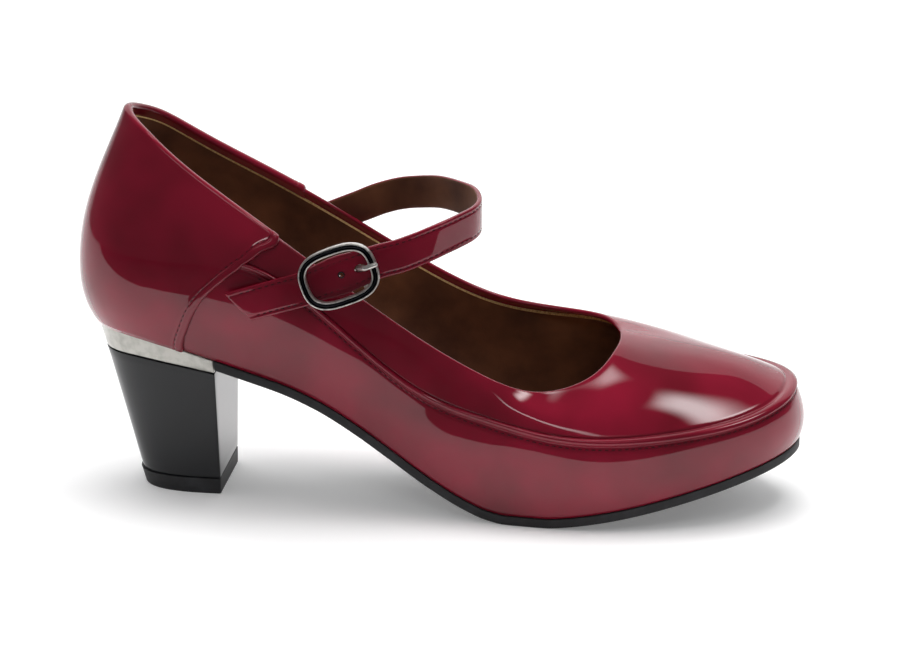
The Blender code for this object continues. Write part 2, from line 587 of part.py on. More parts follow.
def make_buckle(seat, finishes, collection, cutters):
    """Oval frame with a hollow face over the strap, its bar under the strap, and the prong through the hole."""
    place, toe, up, out = seat
    strap_face = STRAP_THICK / 2
    low = strap_face + GAP

    def spot(across, rise, depth):
        return place + toe * across + up * rise + out * depth

    half_length = (FRAME_LENGTH - FRAME_RIM) / 2
    half_height = (FRAME_HEIGHT - FRAME_RIM) / 2
    rim = FRAME_RIM / 2
    profile = [(-rim, 0), (-rim, 0.6 * FRAME_DEPTH), (-0.6 * rim, FRAME_DEPTH), (0, FRAME_DEPTH - FRAME_GROOVE),
               (0.6 * rim, FRAME_DEPTH), (rim, 0.6 * FRAME_DEPTH), (rim, 0)]
    sections = []
    for angle in np.arange(FRAME_STATIONS) * 2 * pi / FRAME_STATIONS:
        ray = np.array([cos(angle), np.sin(angle)])
        half = np.array([half_length, half_height])
        ring = ray * (np.abs(ray / half) ** FRAME_POWER).sum() ** (-1 / FRAME_POWER)
        away = np.sign(ring) * np.abs(ring / half) ** (FRAME_POWER - 1) / half
        away /= np.linalg.norm(away)
        sections.append([spot(*(ring + away * radial), low + depth) for radial, depth in profile])
    frame = loft("buckle_frame", sections, finishes["buckle"], collection, closed=True)

    bar_depth = -strap_face - GAP - BAR_DIAMETER / 2
    bar_end = half_height * (1 - (BAR_AT / half_length) ** FRAME_POWER) ** (1 / FRAME_POWER)
    inside_frame = low + FRAME_DEPTH / 3
    bar_points = [spot(BAR_AT, bar_end, inside_frame), spot(BAR_AT, bar_end, bar_depth),
                  spot(BAR_AT, -bar_end, bar_depth), spot(BAR_AT, -bar_end, inside_frame)]
    bar = as_mesh(rod("buckle_bar", bar_points, BAR_DIAMETER, finishes["buckle"], cutters), cutters)
    bar.hide_render = True
    bar.display_type = "WIRE"
    union = frame.modifiers.new("bar", "BOOLEAN")
    union.operation = "UNION"
    union.object = bar

    over_frame = low + FRAME_DEPTH + GAP + PRONG_DIAMETER / 2
    over_strap = strap_face + GAP + PRONG_DIAMETER / 2
    prong_points = [spot(BAR_AT, 0, -strap_face), spot(BAR_AT + 0.2 * PRONG_DIAMETER, 0, 0),
                    spot(BAR_AT + PRONG_DIAMETER, 0, over_strap),
                    spot(half_length - FRAME_RIM, 0, over_frame - 0.2 * PRONG_DIAMETER),
                    spot(half_length, 0, over_frame), spot(FRAME_LENGTH / 2 + PRONG_OVERHANG, 0, over_frame)]
    rod("buckle_prong", prong_points, PRONG_DIAMETER, finishes["buckle"], collection)


def main():
    for thing in list(bpy.data.objects):
        bpy.data.objects.remove(thing)
    shoe = new_collection("court_shoe")
    cutters = new_collection("cutters")
    finishes = {
        "patent": material("patent leather", "#7E1530", 0.12, coat=1.0),
        "sock": material("bronze sock", "#5C4630", 0.42, metallic=0.3),
        "rubber": material("sole rubber", "#17171A", 0.5),
        "band": material("silver band", "#C9C6BE", 0.3, metallic=0.9),
        "block": material("lacquered heel", "#15171B", 0.12, coat=1.0),
        "buckle": material("gunmetal", "#4A4A4E", 0.2, metallic=1.0),
    }
    make_upper(finishes["patent"], shoe)
    make_counter(finishes["patent"], shoe)
    make_soles(finishes, shoe)
    make_heel(finishes, shoe)
    seat = make_strap(finishes["patent"], shoe, cutters)
    make_buckle(seat, finishes, shoe, cutters)


main()
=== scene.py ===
"""Looks of a patent court shoe with a buckled strap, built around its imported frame."""
import json
from collections import namedtuple
from math import atan2, cos, degrees, pi, radians, sin

import bpy
import numpy as np
from mathutils import Matrix, Vector

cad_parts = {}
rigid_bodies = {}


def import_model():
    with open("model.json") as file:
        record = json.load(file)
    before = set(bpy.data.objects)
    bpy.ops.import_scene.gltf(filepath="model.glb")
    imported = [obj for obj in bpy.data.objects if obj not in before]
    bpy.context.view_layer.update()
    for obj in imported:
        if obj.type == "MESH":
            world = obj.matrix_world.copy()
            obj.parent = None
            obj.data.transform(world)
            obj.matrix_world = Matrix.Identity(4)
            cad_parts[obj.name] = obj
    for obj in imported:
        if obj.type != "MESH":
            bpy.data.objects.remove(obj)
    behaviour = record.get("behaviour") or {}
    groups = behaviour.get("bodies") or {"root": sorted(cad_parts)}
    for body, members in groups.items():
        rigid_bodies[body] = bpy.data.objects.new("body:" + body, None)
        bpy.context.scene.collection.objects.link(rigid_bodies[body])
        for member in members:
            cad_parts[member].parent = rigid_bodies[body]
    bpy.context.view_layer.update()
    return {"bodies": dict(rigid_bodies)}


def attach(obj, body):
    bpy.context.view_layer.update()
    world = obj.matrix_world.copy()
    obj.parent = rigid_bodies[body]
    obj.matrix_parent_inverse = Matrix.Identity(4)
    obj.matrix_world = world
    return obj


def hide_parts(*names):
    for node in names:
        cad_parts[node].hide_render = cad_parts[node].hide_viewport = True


bl_info = {
    "name": "Patent court shoe",
    "version": (1, 0, 0),
    "blender": (4, 5, 0),
    "location": "3D View > Sidebar > Shoe",
    "description": "Builds a buckled patent court shoe with its lining, stitches, heel and studio",
    "category": "Add Mesh",
}

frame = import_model()
BODY = next(iter(frame["bodies"]))
MM = 0.001


def linear(code):
    """Linear colour of an sRGB hex code."""
    channels = [int(code[i:i + 2], 16) / 255 for i in (1, 3, 5)]
    return tuple(c / 12.92 if c <= 0.04045 else ((c + 0.055) / 1.055) ** 2.4 for c in channels) + (1.0,)


def length(name, value, description):
    return bpy.props.FloatProperty(name=name, description=description, default=value * MM, min=0.0,
                                   precision=4, unit="LENGTH")


def colour(name, code, description):
    return bpy.props.FloatVectorProperty(name=name, description=description, default=linear(code), size=4,
                                         min=0.0, max=1.0, subtype="COLOR")


class ShoeSizes(bpy.types.PropertyGroup):
    """Real sizes of the shoe's walls, edges and sewing."""
    rim: length("Rim", 1.8, "Thickness of the rolled topline")
    fold: length("Fold", 2.3, "How far the patent turns down inside the topline")
    lining: length("Lining", 0.8, "Step from the folded patent to the lining's cut edge")
    ridge: length("Ridge", 1.0, "Height of the raised vamp seam")
    counter: length("Counter", 1.0, "Thickness of the back panel")
    stitch: length("Stitch", 2.1, "Length of a stitch with its gap")
    thread: length("Thread", 0.42, "Thickness of the thread")
    sole_edge: length("Sole edge", 0.7, "Rounding of the outsole's lower edge")
    heel_corner: length("Heel corner", 0.7, "Rounding of the heel block's corners")


class ShoeColours(bpy.types.PropertyGroup):
    """Base colours, as the eye reads them on each material."""
    patent: colour("Patent", "#86102A", "Cherry pigment under the gloss")
    patent_deep: colour("Patent deep", "#690A1D", "Darker clouds in the pigment")
    thread: colour("Thread", "#4A0C1A", "Thread of the patent's seams")
    lining: colour("Lining", "#86593F", "Bronze brown lining")
    lining_deep: colour("Lining deep", "#573629", "Darker clouds in the lining")
    cut_edge: colour("Cut edge", "#DDB57C", "Raw edge of the lining")
    sock: colour("Sock", "#B4916F", "Bronze sock under the foot")
    sole: colour("Sole", "#141416", "Moulded sole")
    band: colour("Band", "#BAB8B1", "Silver band of the heel")
    lacquer: colour("Lacquer", "#0A0B0E", "Black lacquer of the heel")
    metal: colour("Metal", "#3A3A3F", "Gunmetal plating")
    # Painted highlight: the lips, bar and prong take a paler copy of the gunmetal plating
    lip: colour("Lip", "#D8D4CF", "Polished lips and prong of the buckle")
    studio: colour("Studio", "#F4F4F4", "Floor and backdrop")


# Last: the same driving sizes and ribs as the frame's, so every surface lies on it
LENGTH = 238 * MM
BACK_X = -35.5 * MM
BALL_WIDTH = 75 * MM
BACK_HEIGHT = 70.5 * MM
INSTEP_HEIGHT = 47 * MM
HEEL_PITCH = 53 * MM
TOE_SPRING = 18.4 * MM
TOE_CURVE = 1.3
BALL_FLAT_START = 0.605
BALL_FLAT_END = 0.66
SOLE_THICK = 3.2 * MM
GAP = 0.3 * MM
RIB_PULL = 0.36

# Each rib starts at the foot edge, crosses the raised seam (at the heel, the widest bulge) and ends at the
# topline. An x is a share of LENGTH, a y a share of BALL_WIDTH and a rise a share of the rib's own height. A lean
# is in degrees, outward if positive.
Rib = namedtuple("Rib", "foot_x foot_y seam_x seam_y seam_rise top_x top_y top_rise "
                        "foot_lean wall_lean plug_lean top_lean height")
RIBS = [
    Rib(0.024, 0.000, 0.007, 0.000, 0.333, 0.073, 0.000, 1.000, 35, -4, -4, -22, BACK_HEIGHT),
    Rib(0.045, -0.165, 0.026, -0.200, 0.349, 0.084, -0.100, 0.977, 30, -6, -6, -24, BACK_HEIGHT),
    Rib(0.100, -0.276, 0.090, -0.336, 0.406, 0.115, -0.192, 0.932, 26, -8, -8, -24, BACK_HEIGHT),
    Rib(0.180, -0.317, 0.175, -0.390, 0.500, 0.174, -0.268, 0.852, 25, -10, -10, -26, BACK_HEIGHT),
    Rib(0.280, -0.333, 0.275, -0.420, 0.543, 0.271, -0.347, 0.745, 26, -8, -8, -26, BACK_HEIGHT),
    Rib(0.380, -0.340, 0.376, -0.433, 0.462, 0.372, -0.393, 0.672, 28, -4, -6, -16, BACK_HEIGHT),
    Rib(0.480, -0.378, 0.480, -0.440, 0.403, 0.477, -0.413, 0.655, 25, -4, -4, -12, BACK_HEIGHT),
    Rib(0.580, -0.440, 0.578, -0.473, 0.676, 0.561, -0.408, 0.992, 20, -8, -10, -28, INSTEP_HEIGHT),
    Rib(0.680, -0.480, 0.670, -0.513, 0.593, 0.632, -0.376, 0.857, 20, -12, -22, -50, INSTEP_HEIGHT),
    Rib(0.770, -0.467, 0.763, -0.493, 0.488, 0.689, -0.313, 0.791, 20, -14, -36, -62, INSTEP_HEIGHT),
    Rib(0.860, -0.387, 0.855, -0.420, 0.410, 0.723, -0.227, 0.757, 18, -16, -50, -70, INSTEP_HEIGHT),
    Rib(0.9315, -0.273, 0.9255, -0.315, 0.364, 0.740, -0.127, 0.736, 18, -22, -57, -74, INSTEP_HEIGHT),
    Rib(0.978, -0.134, 0.972, -0.170, 0.368, 0.747, -0.033, 0.704, 21, -27, -60, -76, INSTEP_HEIGHT),
    Rib(0.9955, 0.027, 0.986, 0.020, 0.383, 0.747, 0.053, 0.692, 22, -29, -61, -77, INSTEP_HEIGHT),
    Rib(0.9835, 0.167, 0.9735, 0.187, 0.404, 0.742, 0.137, 0.710, 21, -27, -63, -77, INSTEP_HEIGHT),
    Rib(0.943, 0.320, 0.935, 0.347, 0.446, 0.730, 0.217, 0.785, 18, -21, -64, -75, INSTEP_HEIGHT),
    Rib(0.870, 0.453, 0.863, 0.473, 0.539, 0.706, 0.293, 0.892, 18, -16, -55, -71, INSTEP_HEIGHT),
    Rib(0.780, 0.507, 0.771, 0.527, 0.638, 0.664, 0.347, 1.008, 18, -12, -38, -60, INSTEP_HEIGHT),
    Rib(0.683, 0.453, 0.679, 0.500, 0.732, 0.613, 0.367, 1.126, 22, -8, -22, -44, INSTEP_HEIGHT),
    Rib(0.586, 0.340, 0.582, 0.440, 0.815, 0.555, 0.367, 1.198, 28, -6, -12, -26, INSTEP_HEIGHT),
    Rib(0.485, 0.260, 0.481, 0.400, 0.515, 0.477, 0.367, 0.756, 34, -4, -6, -14, BACK_HEIGHT),
    Rib(0.384, 0.260, 0.376, 0.393, 0.509, 0.372, 0.363, 0.736, 34, -4, -6, -16, BACK_HEIGHT),
    Rib(0.284, 0.293, 0.275, 0.407, 0.560, 0.271, 0.333, 0.777, 30, -8, -8, -26, BACK_HEIGHT),
    Rib(0.180, 0.310, 0.178, 0.384, 0.508, 0.174, 0.266, 0.864, 26, -10, -10, -26, BACK_HEIGHT),
    Rib(0.100, 0.276, 0.090, 0.336, 0.406, 0.115, 0.192, 0.936, 26, -8, -8, -24, BACK_HEIGHT),
    Rib(0.045, 0.165, 0.026, 0.200, 0.349, 0.084, 0.100, 0.978, 30, -6, -6, -24, BACK_HEIGHT),
]
TURN = len(RIBS)

# Underside of the last: along is a share of LENGTH, rise a share of HEEL_PITCH
Arch = namedtuple("Arch", "along rise")
ARCH = [
    Arch(-0.02, 1.0), Arch(0.03, 1.0), Arch(0.08, 0.985), Arch(0.14, 0.935), Arch(0.20, 0.862),
    Arch(0.25, 0.795), Arch(0.30, 0.722), Arch(0.35, 0.62), Arch(0.40, 0.485), Arch(0.45, 0.335),
    Arch(0.50, 0.187), Arch(0.55, 0.068), Arch(0.58, 0.018), Arch(BALL_FLAT_START, 0.0), Arch(BALL_FLAT_END, 0.0),
]

# Front edge of the counter: up is a share of the rib, rib counts ribs from the back
Edge = namedtuple("Edge", "up rib")
COUNTER_EDGE = [
    Edge(0.0, 2.80), Edge(0.17, 2.97), Edge(0.31, 3.20), Edge(0.435, 3.55),
    Edge(0.51, 3.78), Edge(0.715, 4.02), Edge(1.0, 4.27),
]

# The raised seam fades out under the counter
Ridge = namedtuple("Ridge", "rib height")
RIDGE = [Ridge(0, 0), Ridge(3.5, 0), Ridge(3.75, 1), Ridge(TURN - 3.75, 1), Ridge(TURN - 3.5, 0), Ridge(TURN, 0)]

# Soft creases of the worn wall: a trough or ridge between two places, each a rib and a share up it, with its
# half width and its depth in millimetres, outward if positive
Crease = namedtuple("Crease", "rib up to_rib to_up half depth")
CREASES = [
    Crease(5.1, 0.30, 6.4, 0.42, 5.0, -0.32), Crease(5.9, 0.20, 7.0, 0.34, 5.0, 0.28),
    Crease(4.2, 0.46, 5.2, 0.56, 4.0, -0.25), Crease(6.6, 0.62, 7.6, 0.78, 3.5, -0.22),
    Crease(7.4, 0.30, 8.3, 0.22, 6.0, -0.22), Crease(20.2, 0.80, 21.2, 0.86, 4.0, -0.30),
    Crease(21.4, 0.72, 22.0, 0.90, 4.0, 0.28), Crease(18.6, 0.34, 19.8, 0.40, 6.0, -0.30),
    Crease(9.0, 0.70, 10.2, 0.82, 6.0, -0.07), Crease(16.0, 0.72, 17.4, 0.80, 6.0, -0.12),
    Crease(1.0, 0.70, 2.6, 0.62, 7.0, -0.22), Crease(23.6, 0.60, 25.0, 0.74, 7.0, -0.22),
    Crease(1.4, 0.22, 2.4, 0.30, 8.0, 0.20),
]


def smooth_table(x, rows):
    """Value at x of a two-column table, without overshoot between its rows."""
    keys = np.array([row[0] for row in rows], float)
    values = np.array([row[1] for row in rows], float)
    step = np.diff(keys)
    rate = np.diff(values) / step
    slope = np.zeros_like(keys)
    for i in range(1, len(keys) - 1):
        if rate[i - 1] * rate[i] > 0:
            after, before = 2 * step[i] + step[i - 1], step[i] + 2 * step[i - 1]
            slope[i] = (after + before) / (after / rate[i - 1] + before / rate[i])
    x = np.clip(np.asarray(x, float), keys[0], keys[-1])
    i = np.clip(np.searchsorted(keys, x) - 1, 0, len(step) - 1)
    t = (x - keys[i]) / step[i]
    start = values[i] * (1 + 2 * t) + slope[i] * step[i] * t
    end = values[i + 1] * (3 - 2 * t) + slope[i + 1] * step[i] * (t - 1)
    return start * (1 - t) ** 2 + end * t ** 2


def closed_curve(points):
    """Smooth closed curve through one point for each rib, as a function of the rib count."""
    points = np.asarray(points, float)
    count = len(points)
    mix = (4 * np.eye(count) + np.roll(np.eye(count), 1, 0) + np.roll(np.eye(count), -1, 0)) / 6
    control = np.linalg.solve(mix, points)

    def at(rib, slope=False):
        rib = np.asarray(rib, float) % count
        i = np.floor(rib).astype(int)
        t = (rib - i)[..., None]
        a, b, c, d = (control[(i + k) % count] for k in (-1, 0, 1, 2))
        if slope:
            return (-a * (1 - t) ** 2 + b * (3 * t * t - 4 * t) + c * (1 + 2 * t - 3 * t * t) + d * t * t) / 2
        return (a * (1 - t) ** 3 + b * (3 * t ** 3 - 6 * t * t + 4)
                + c * (-3 * t ** 3 + 3 * t * t + 3 * t + 1) + d * t ** 3) / 6
    return at


def foot_height(x):
    """Height of the last's underside."""
    along = (np.asarray(x, float) - BACK_X) / LENGTH
    toe = np.clip((along - BALL_FLAT_END) / (RIBS[TURN // 2].foot_x - BALL_FLAT_END), 0, None) ** TOE_CURVE
    return SOLE_THICK + GAP + HEEL_PITCH * smooth_table(along, ARCH) + TOE_SPRING * toe


def rib_points():
    """The ribs' foot edge, seam and topline points, and their leans."""
    foot, seam, top, lean = [], [], [], []
    for rib in RIBS:
        foot_x = BACK_X + rib.foot_x * LENGTH
        ground = float(foot_height(foot_x))
        foot.append((foot_x, rib.foot_y * BALL_WIDTH))
        seam.append((BACK_X + rib.seam_x * LENGTH, rib.seam_y * BALL_WIDTH, ground + rib.seam_rise * rib.height))
        top.append((BACK_X + rib.top_x * LENGTH, rib.top_y * BALL_WIDTH, ground + rib.top_rise * rib.height))
        lean.append((rib.foot_lean, rib.wall_lean, rib.plug_lean, rib.top_lean))
    return foot, seam, top, lean


FOOT, SEAM, TOP, LEAN = (closed_curve(points) for points in rib_points())


def inward(curve, rib):
    """Level direction from a curve into the shoe."""
    slope = curve(rib, slope=True)
    side = np.stack([-slope[..., 1], slope[..., 0]], -1)
    return side / np.linalg.norm(side, axis=-1, keepdims=True)


def rising(side, lean):
    """Direction up the wall at a lean in degrees, outward if positive."""
    angle = np.radians(lean)[..., None]
    return np.concatenate([-np.sin(angle) * side, np.cos(angle)], -1)


def bezier(start, start_way, end, end_way, t):
    pull = np.linalg.norm(end - start, axis=-1, keepdims=True) * RIB_PULL
    return ((1 - t) ** 3 * start + 3 * t * (1 - t) ** 2 * (start + start_way * pull)
            + 3 * t * t * (1 - t) * (end - end_way * pull) + t ** 3 * end)


def form(rib, up):
    """The last's surface: rib counts ribs round the shoe, up is 0 at the foot, 0.5 at the seam, 1 at the top."""
    rib, up = np.broadcast_arrays(np.asarray(rib, float), np.asarray(up, float))
    foot = FOOT(rib)
    foot = np.concatenate([foot, foot_height(foot[..., 0])[..., None]], -1)
    seam, top, lean = SEAM(rib), TOP(rib), LEAN(rib)
    at_foot, at_seam, at_top = inward(FOOT, rib), inward(SEAM, rib), inward(TOP, rib)
    t = np.where(up <= 0.5, up * 2, up * 2 - 1)[..., None]
    wall = bezier(foot, rising(at_foot, lean[..., 0]), seam, rising(at_seam, lean[..., 1]), t)
    plug = bezier(seam, rising(at_seam, lean[..., 2]), top, rising(at_top, lean[..., 3]), t)
    return np.where(up[..., None] <= 0.5, wall, plug)


def climb(rib, up):
    """Speed up the wall: metres for a whole rib, along its surface."""
    step = 0.004
    return (form(rib, np.minimum(up + step, 1)) - form(rib, np.maximum(up - step, 0))) / (2 * step)


def outward(rib, up):
    """Unit normal of the last's surface, the mean of both sides at the seam."""
    step = 0.004
    rib, up = np.broadcast_arrays(np.asarray(rib, float), np.asarray(up, float))
    normal = np.cross(form(rib + step, up) - form(rib - step, up), climb(rib, up))
    return normal / np.linalg.norm(normal, axis=-1, keepdims=True)


def unit(way):
    return way / np.linalg.norm(way, axis=-1, keepdims=True)


def size_of(way):
    return np.linalg.norm(way, axis=-1)


def crease_height(points):
    """How far the creases move each point of the outside, in metres."""
    height = np.zeros(points.shape[:-1])
    for crease in CREASES:
        start = form(np.array(crease.rib), np.array(crease.up))
        end = form(np.array(crease.to_rib), np.array(crease.to_up))
        way = end - start
        share = np.clip(((points - start) @ way) / (way @ way), 0, 1)
        apart = size_of(points - start - share[..., None] * way)
        fade = 0.35 + 0.65 * np.sin(pi * share)
        height += crease.depth * MM * fade * np.exp(-(apart / (crease.half * MM)) ** 2)
    return height


def sizes():
    return bpy.context.scene.shoe_sizes


def colours():
    return bpy.context.scene.shoe_colours


def select_only(piece):
    bpy.ops.object.select_all(action="DESELECT")
    piece.select_set(True)
    bpy.context.view_layer.objects.active = piece


def edit_all(*steps):
    """Runs mesh operators on the whole of the active piece."""
    bpy.ops.object.mode_set(mode="EDIT")
    bpy.ops.mesh.select_all(action="SELECT")
    for step in steps:
        step()
    bpy.ops.object.mode_set(mode="OBJECT")


def close_doubles():
    bpy.ops.mesh.remove_doubles(threshold=0.002 * MM)


def face_outward():
    bpy.ops.mesh.normals_make_consistent(inside=False)


def skin(name, points, materials, rows=None, uv=None):
    """Closed piece from a grid primitive: rows and columns are laid on the points, edges that meet are joined.

    rows gives each strip of faces its material, and uv holds each point's place in metres.
    """
    points = np.asarray(points, float)
    count, across = points.shape[:2]
    bpy.ops.object.select_all(action="DESELECT")
    bpy.ops.mesh.primitive_grid_add(x_subdivisions=across - 1, y_subdivisions=count - 1, size=1)
    piece = bpy.context.object
    piece.name = piece.data.name = name
    mesh = piece.data
    mesh.vertices.foreach_set("co", points.reshape(-1).astype(np.float32))
    if uv is not None:
        order = np.empty(len(mesh.loops), int)
        mesh.loops.foreach_get("vertex_index", order)
        flat = np.asarray(uv, float).reshape(-1, 2)[order]
        mesh.uv_layers[0].data.foreach_set("uv", flat.reshape(-1).astype(np.float32))
    for finish in materials:
        mesh.materials.append(finish)
    if rows is not None:
        mesh.polygons.foreach_set("material_index", np.repeat(rows, across - 1).astype(np.int32))
    select_only(piece)
    edit_all(close_doubles, face_outward)
    bpy.ops.object.shade_smooth()
    return piece


def wrapped(rows):
    """The rows with the first one repeated, so that the skin closes."""
    return np.concatenate([rows, rows[:1]])


def loft(name, sections, materials, strips=None, uv=None):
    """Skin along closed sections whose points pair first with last, closed at both ends on the pairs' middles."""
    sections = np.asarray(sections, float)
    middle = (sections[[0, -1]] + sections[[0, -1], ::-1]) / 2
    whole = np.concatenate([middle[:1], sections, middle[1:]])
    whole = np.concatenate([whole, whole[:, :1]], 1)
    if uv is not None:
        uv = np.concatenate([uv[:1], uv, uv[-1:]])
    piece = skin(name, whole.transpose(1, 0, 2), materials, strips,
                 None if uv is None else uv.transpose(1, 0, 2))
    return piece


def sharpen(piece, angle):
    select_only(piece)
    bpy.ops.object.shade_smooth_by_angle(angle=radians(angle))


def dress(piece, slot, *nodes):
    """The piece rides on the shoe and stands for the nodes, which are hidden. slot is not used."""
    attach(piece, BODY)
    if nodes:
        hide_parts(*nodes)


def node(tree, kind, inputs=None, **settings):
    """Adds a shader node with its settings. An input is a value, or another node's socket to link."""
    made = tree.nodes.new(kind)
    for name, value in settings.items():
        setattr(made, name, value)
    for name, value in (inputs or {}).items():
        if isinstance(value, bpy.types.NodeSocket):
            tree.links.new(value, made.inputs[name])
        else:
            made.inputs[name].default_value = value
    return made


def principled(name, **values):
    """New material and its shader, with plain numbers set on the shader's own sockets."""
    made = bpy.data.materials.new(name)
    made.use_nodes = True
    shader = made.node_tree.nodes["Principled BSDF"]
    for socket, value in values.items():
        shader.inputs[socket.replace("_", " ")].default_value = value
    return made, made.node_tree, shader


def waves(tree, wavelength, detail=2.0, roughness=0.5, source=None):
    """Noise whose lumps are wavelength metres across."""
    place = source or node(tree, "ShaderNodeTexCoord").outputs["Object"]
    return node(tree, "ShaderNodeTexNoise", {"Vector": place, "Scale": 1 / wavelength, "Detail": detail,
                                             "Roughness": roughness})


def blend_colours(tree, factor, first, second, low=0.35, high=0.65):
    ramp = node(tree, "ShaderNodeMapRange", {"Value": factor, "From Min": low, "From Max": high})
    mix = node(tree, "ShaderNodeMix", {"Factor": ramp.outputs["Result"]}, data_type="RGBA")
    mix.inputs[6].default_value = first
    mix.inputs[7].default_value = second
    return mix.outputs[2]


def bump(tree, height, distance, strength=1.0, under=None):
    inputs = {"Height": height, "Distance": distance, "Strength": strength}
    if under is not None:
        inputs["Normal"] = under
    return node(tree, "ShaderNodeBump", inputs).outputs["Normal"]


def patent_leather():
    """Patent leather: metallic pigment under a thick clear lacquer. Only the lacquer mirrors the room, slightly
    wavy over the hide, and the pigment glows where light comes straight on."""
    made, tree, shader = principled("patent_leather", Roughness=0.45, Metallic=0.3, Specular_IOR_Level=0.0,
                                    Coat_Weight=1.0, Coat_Roughness=0.03, Coat_IOR=1.5)
    clouds = waves(tree, 30 * MM, 2)
    tone = blend_colours(tree, clouds.outputs["Fac"], colours().patent_deep, colours().patent, 0.3, 0.6)
    tree.links.new(tone, shader.inputs["Base Color"])
    hide = bump(tree, waves(tree, 7 * MM, 1.5).outputs["Fac"], 0.10 * MM, 0.5)
    tree.links.new(bump(tree, waves(tree, 0.35 * MM, 1).outputs["Fac"], 0.01 * MM, 0.4, hide),
                   shader.inputs["Normal"])
    tree.links.new(bump(tree, waves(tree, 12 * MM, 1).outputs["Fac"], 0.035 * MM, 0.5),
                   shader.inputs["Coat Normal"])
    return made


def lining_leather():
    """Lining: thin synthetic leather with a bronze sheen, pressed grain and soft wrinkles where it meets the foot."""
    made, tree, shader = principled("lining_leather", Roughness=0.5, Metallic=0.1, Specular_IOR_Level=0.35)
    clouds = waves(tree, 18 * MM, 3)
    tree.links.new(blend_colours(tree, clouds.outputs["Fac"], colours().lining_deep, colours().lining, 0.3, 0.7),
                   shader.inputs["Base Color"])
    wrinkles = bump(tree, waves(tree, 5 * MM, 2).outputs["Fac"], 0.25 * MM, 0.6)
    grain = node(tree, "ShaderNodeTexVoronoi", {"Vector": node(tree, "ShaderNodeTexCoord").outputs["Object"],
                                                "Scale": 1 / (0.8 * MM)})
    tree.links.new(bump(tree, grain.outputs["Distance"], 0.04 * MM, 0.5, wrinkles), shader.inputs["Normal"])
    return made


def cut_edge():
    """Raw edge of the lining: pale fibres, dull."""
    made, tree, shader = principled("lining_cut_edge", Roughness=0.85)
    fibres = waves(tree, 0.6 * MM, 3)
    tree.links.new(blend_colours(tree, fibres.outputs["Fac"], linear("#A98450"), colours().cut_edge, 0.3, 0.6),
                   shader.inputs["Base Color"])
    return made


def sock_leather():
    """Sock: bronze foil on thin leather, crinkled in cells a few millimetres wide, with painted shade in each cell's
    hollow and painted highlight on its raised edge.
    """
    made, tree, shader = principled("sock_leather", Roughness=0.36, Metallic=0.25)
    place = node(tree, "ShaderNodeTexCoord").outputs["Object"]
    cells = node(tree, "ShaderNodeTexVoronoi", {"Vector": place, "Scale": 1 / (1.1 * MM)}, feature="SMOOTH_F1")
    # Painted shade and highlight: the colour follows the same cells as the crinkle bump, darker in each hollow and
    # paler on each raised edge
    tree.links.new(blend_colours(tree, cells.outputs["Distance"], linear("#8C6B4F"), colours().sock, 0.15, 0.8),
                   shader.inputs["Base Color"])
    crinkle = bump(tree, cells.outputs["Distance"], 0.35 * MM, 1.0)
    tree.links.new(bump(tree, waves(tree, 4 * MM, 2).outputs["Fac"], 0.3 * MM, 0.5, crinkle),
                   shader.inputs["Normal"])
    return made


def sole_rubber():
    """Moulded rubber: matte black with a fine cast grain and paler dust in places."""
    made, tree, shader = principled("sole_rubber", Roughness=0.55, Specular_IOR_Level=0.4)
    dust = waves(tree, 6 * MM, 4)
    tree.links.new(blend_colours(tree, dust.outputs["Fac"], colours().sole, linear("#26262A"), 0.45, 0.75),
                   shader.inputs["Base Color"])
    tree.links.new(bump(tree, waves(tree, 0.5 * MM, 2).outputs["Fac"], 0.04 * MM, 0.6), shader.inputs["Normal"])
    return made


def silver_band():
    """Heel band: silver foil over plastic, satin, with faint streaks along it."""
    made, tree, shader = principled("silver_foil", Roughness=0.3, Metallic=0.55, Coat_Weight=0.3,
                                    Coat_Roughness=0.2)
    streaks = waves(tree, 3 * MM, 2)
    tree.links.new(blend_colours(tree, streaks.outputs["Fac"], linear("#A3A19A"), colours().band, 0.3, 0.6),
                   shader.inputs["Base Color"])
    tree.links.new(bump(tree, waves(tree, 1.2 * MM, 2).outputs["Fac"], 0.02 * MM, 0.5), shader.inputs["Normal"])
    return made


def black_lacquer():
    """Heel block: moulded ABS sprayed with black lacquer, a mirror with a slight ripple."""
    made, tree, shader = principled("black_lacquer", Roughness=0.4, Specular_IOR_Level=0.0, Coat_Weight=1.0,
                                    Coat_Roughness=0.04, Coat_IOR=1.42)
    film = waves(tree, 10 * MM, 2)
    tree.links.new(blend_colours(tree, film.outputs["Fac"], colours().lacquer, linear("#101216"), 0.3, 0.7),
                   shader.inputs["Base Color"])
    tree.links.new(bump(tree, waves(tree, 6 * MM, 1).outputs["Fac"], 0.03 * MM, 0.5), shader.inputs["Coat Normal"])
    return made


def gunmetal():
    """Buckle's hollow face: die-cast zinc with dark gunmetal plating."""
    made, tree, shader = principled("gunmetal_plating", Roughness=0.16, Metallic=1.0)
    film = waves(tree, 2.5 * MM, 2)
    tree.links.new(blend_colours(tree, film.outputs["Fac"], linear("#2C2C30"), colours().metal, 0.3, 0.7),
                   shader.inputs["Base Color"])
    tree.links.new(bump(tree, waves(tree, 0.6 * MM, 2).outputs["Fac"], 0.008 * MM, 0.5), shader.inputs["Normal"])
    return made


def painted_highlight_lip():
    """Buckle's lips, bar and prong: a paler copy of the same plating, a painted highlight where the lips catch the
    light.
    """
    made, tree, shader = principled("lip_painted_highlight", Roughness=0.3, Metallic=0.85)
    film = waves(tree, 1.5 * MM, 2)
    tree.links.new(blend_colours(tree, film.outputs["Fac"], linear("#A9A5A1"), colours().lip, 0.3, 0.6),
                   shader.inputs["Base Color"])
    tree.links.new(bump(tree, waves(tree, 0.5 * MM, 2).outputs["Fac"], 0.01 * MM, 0.5), shader.inputs["Normal"])
    return made


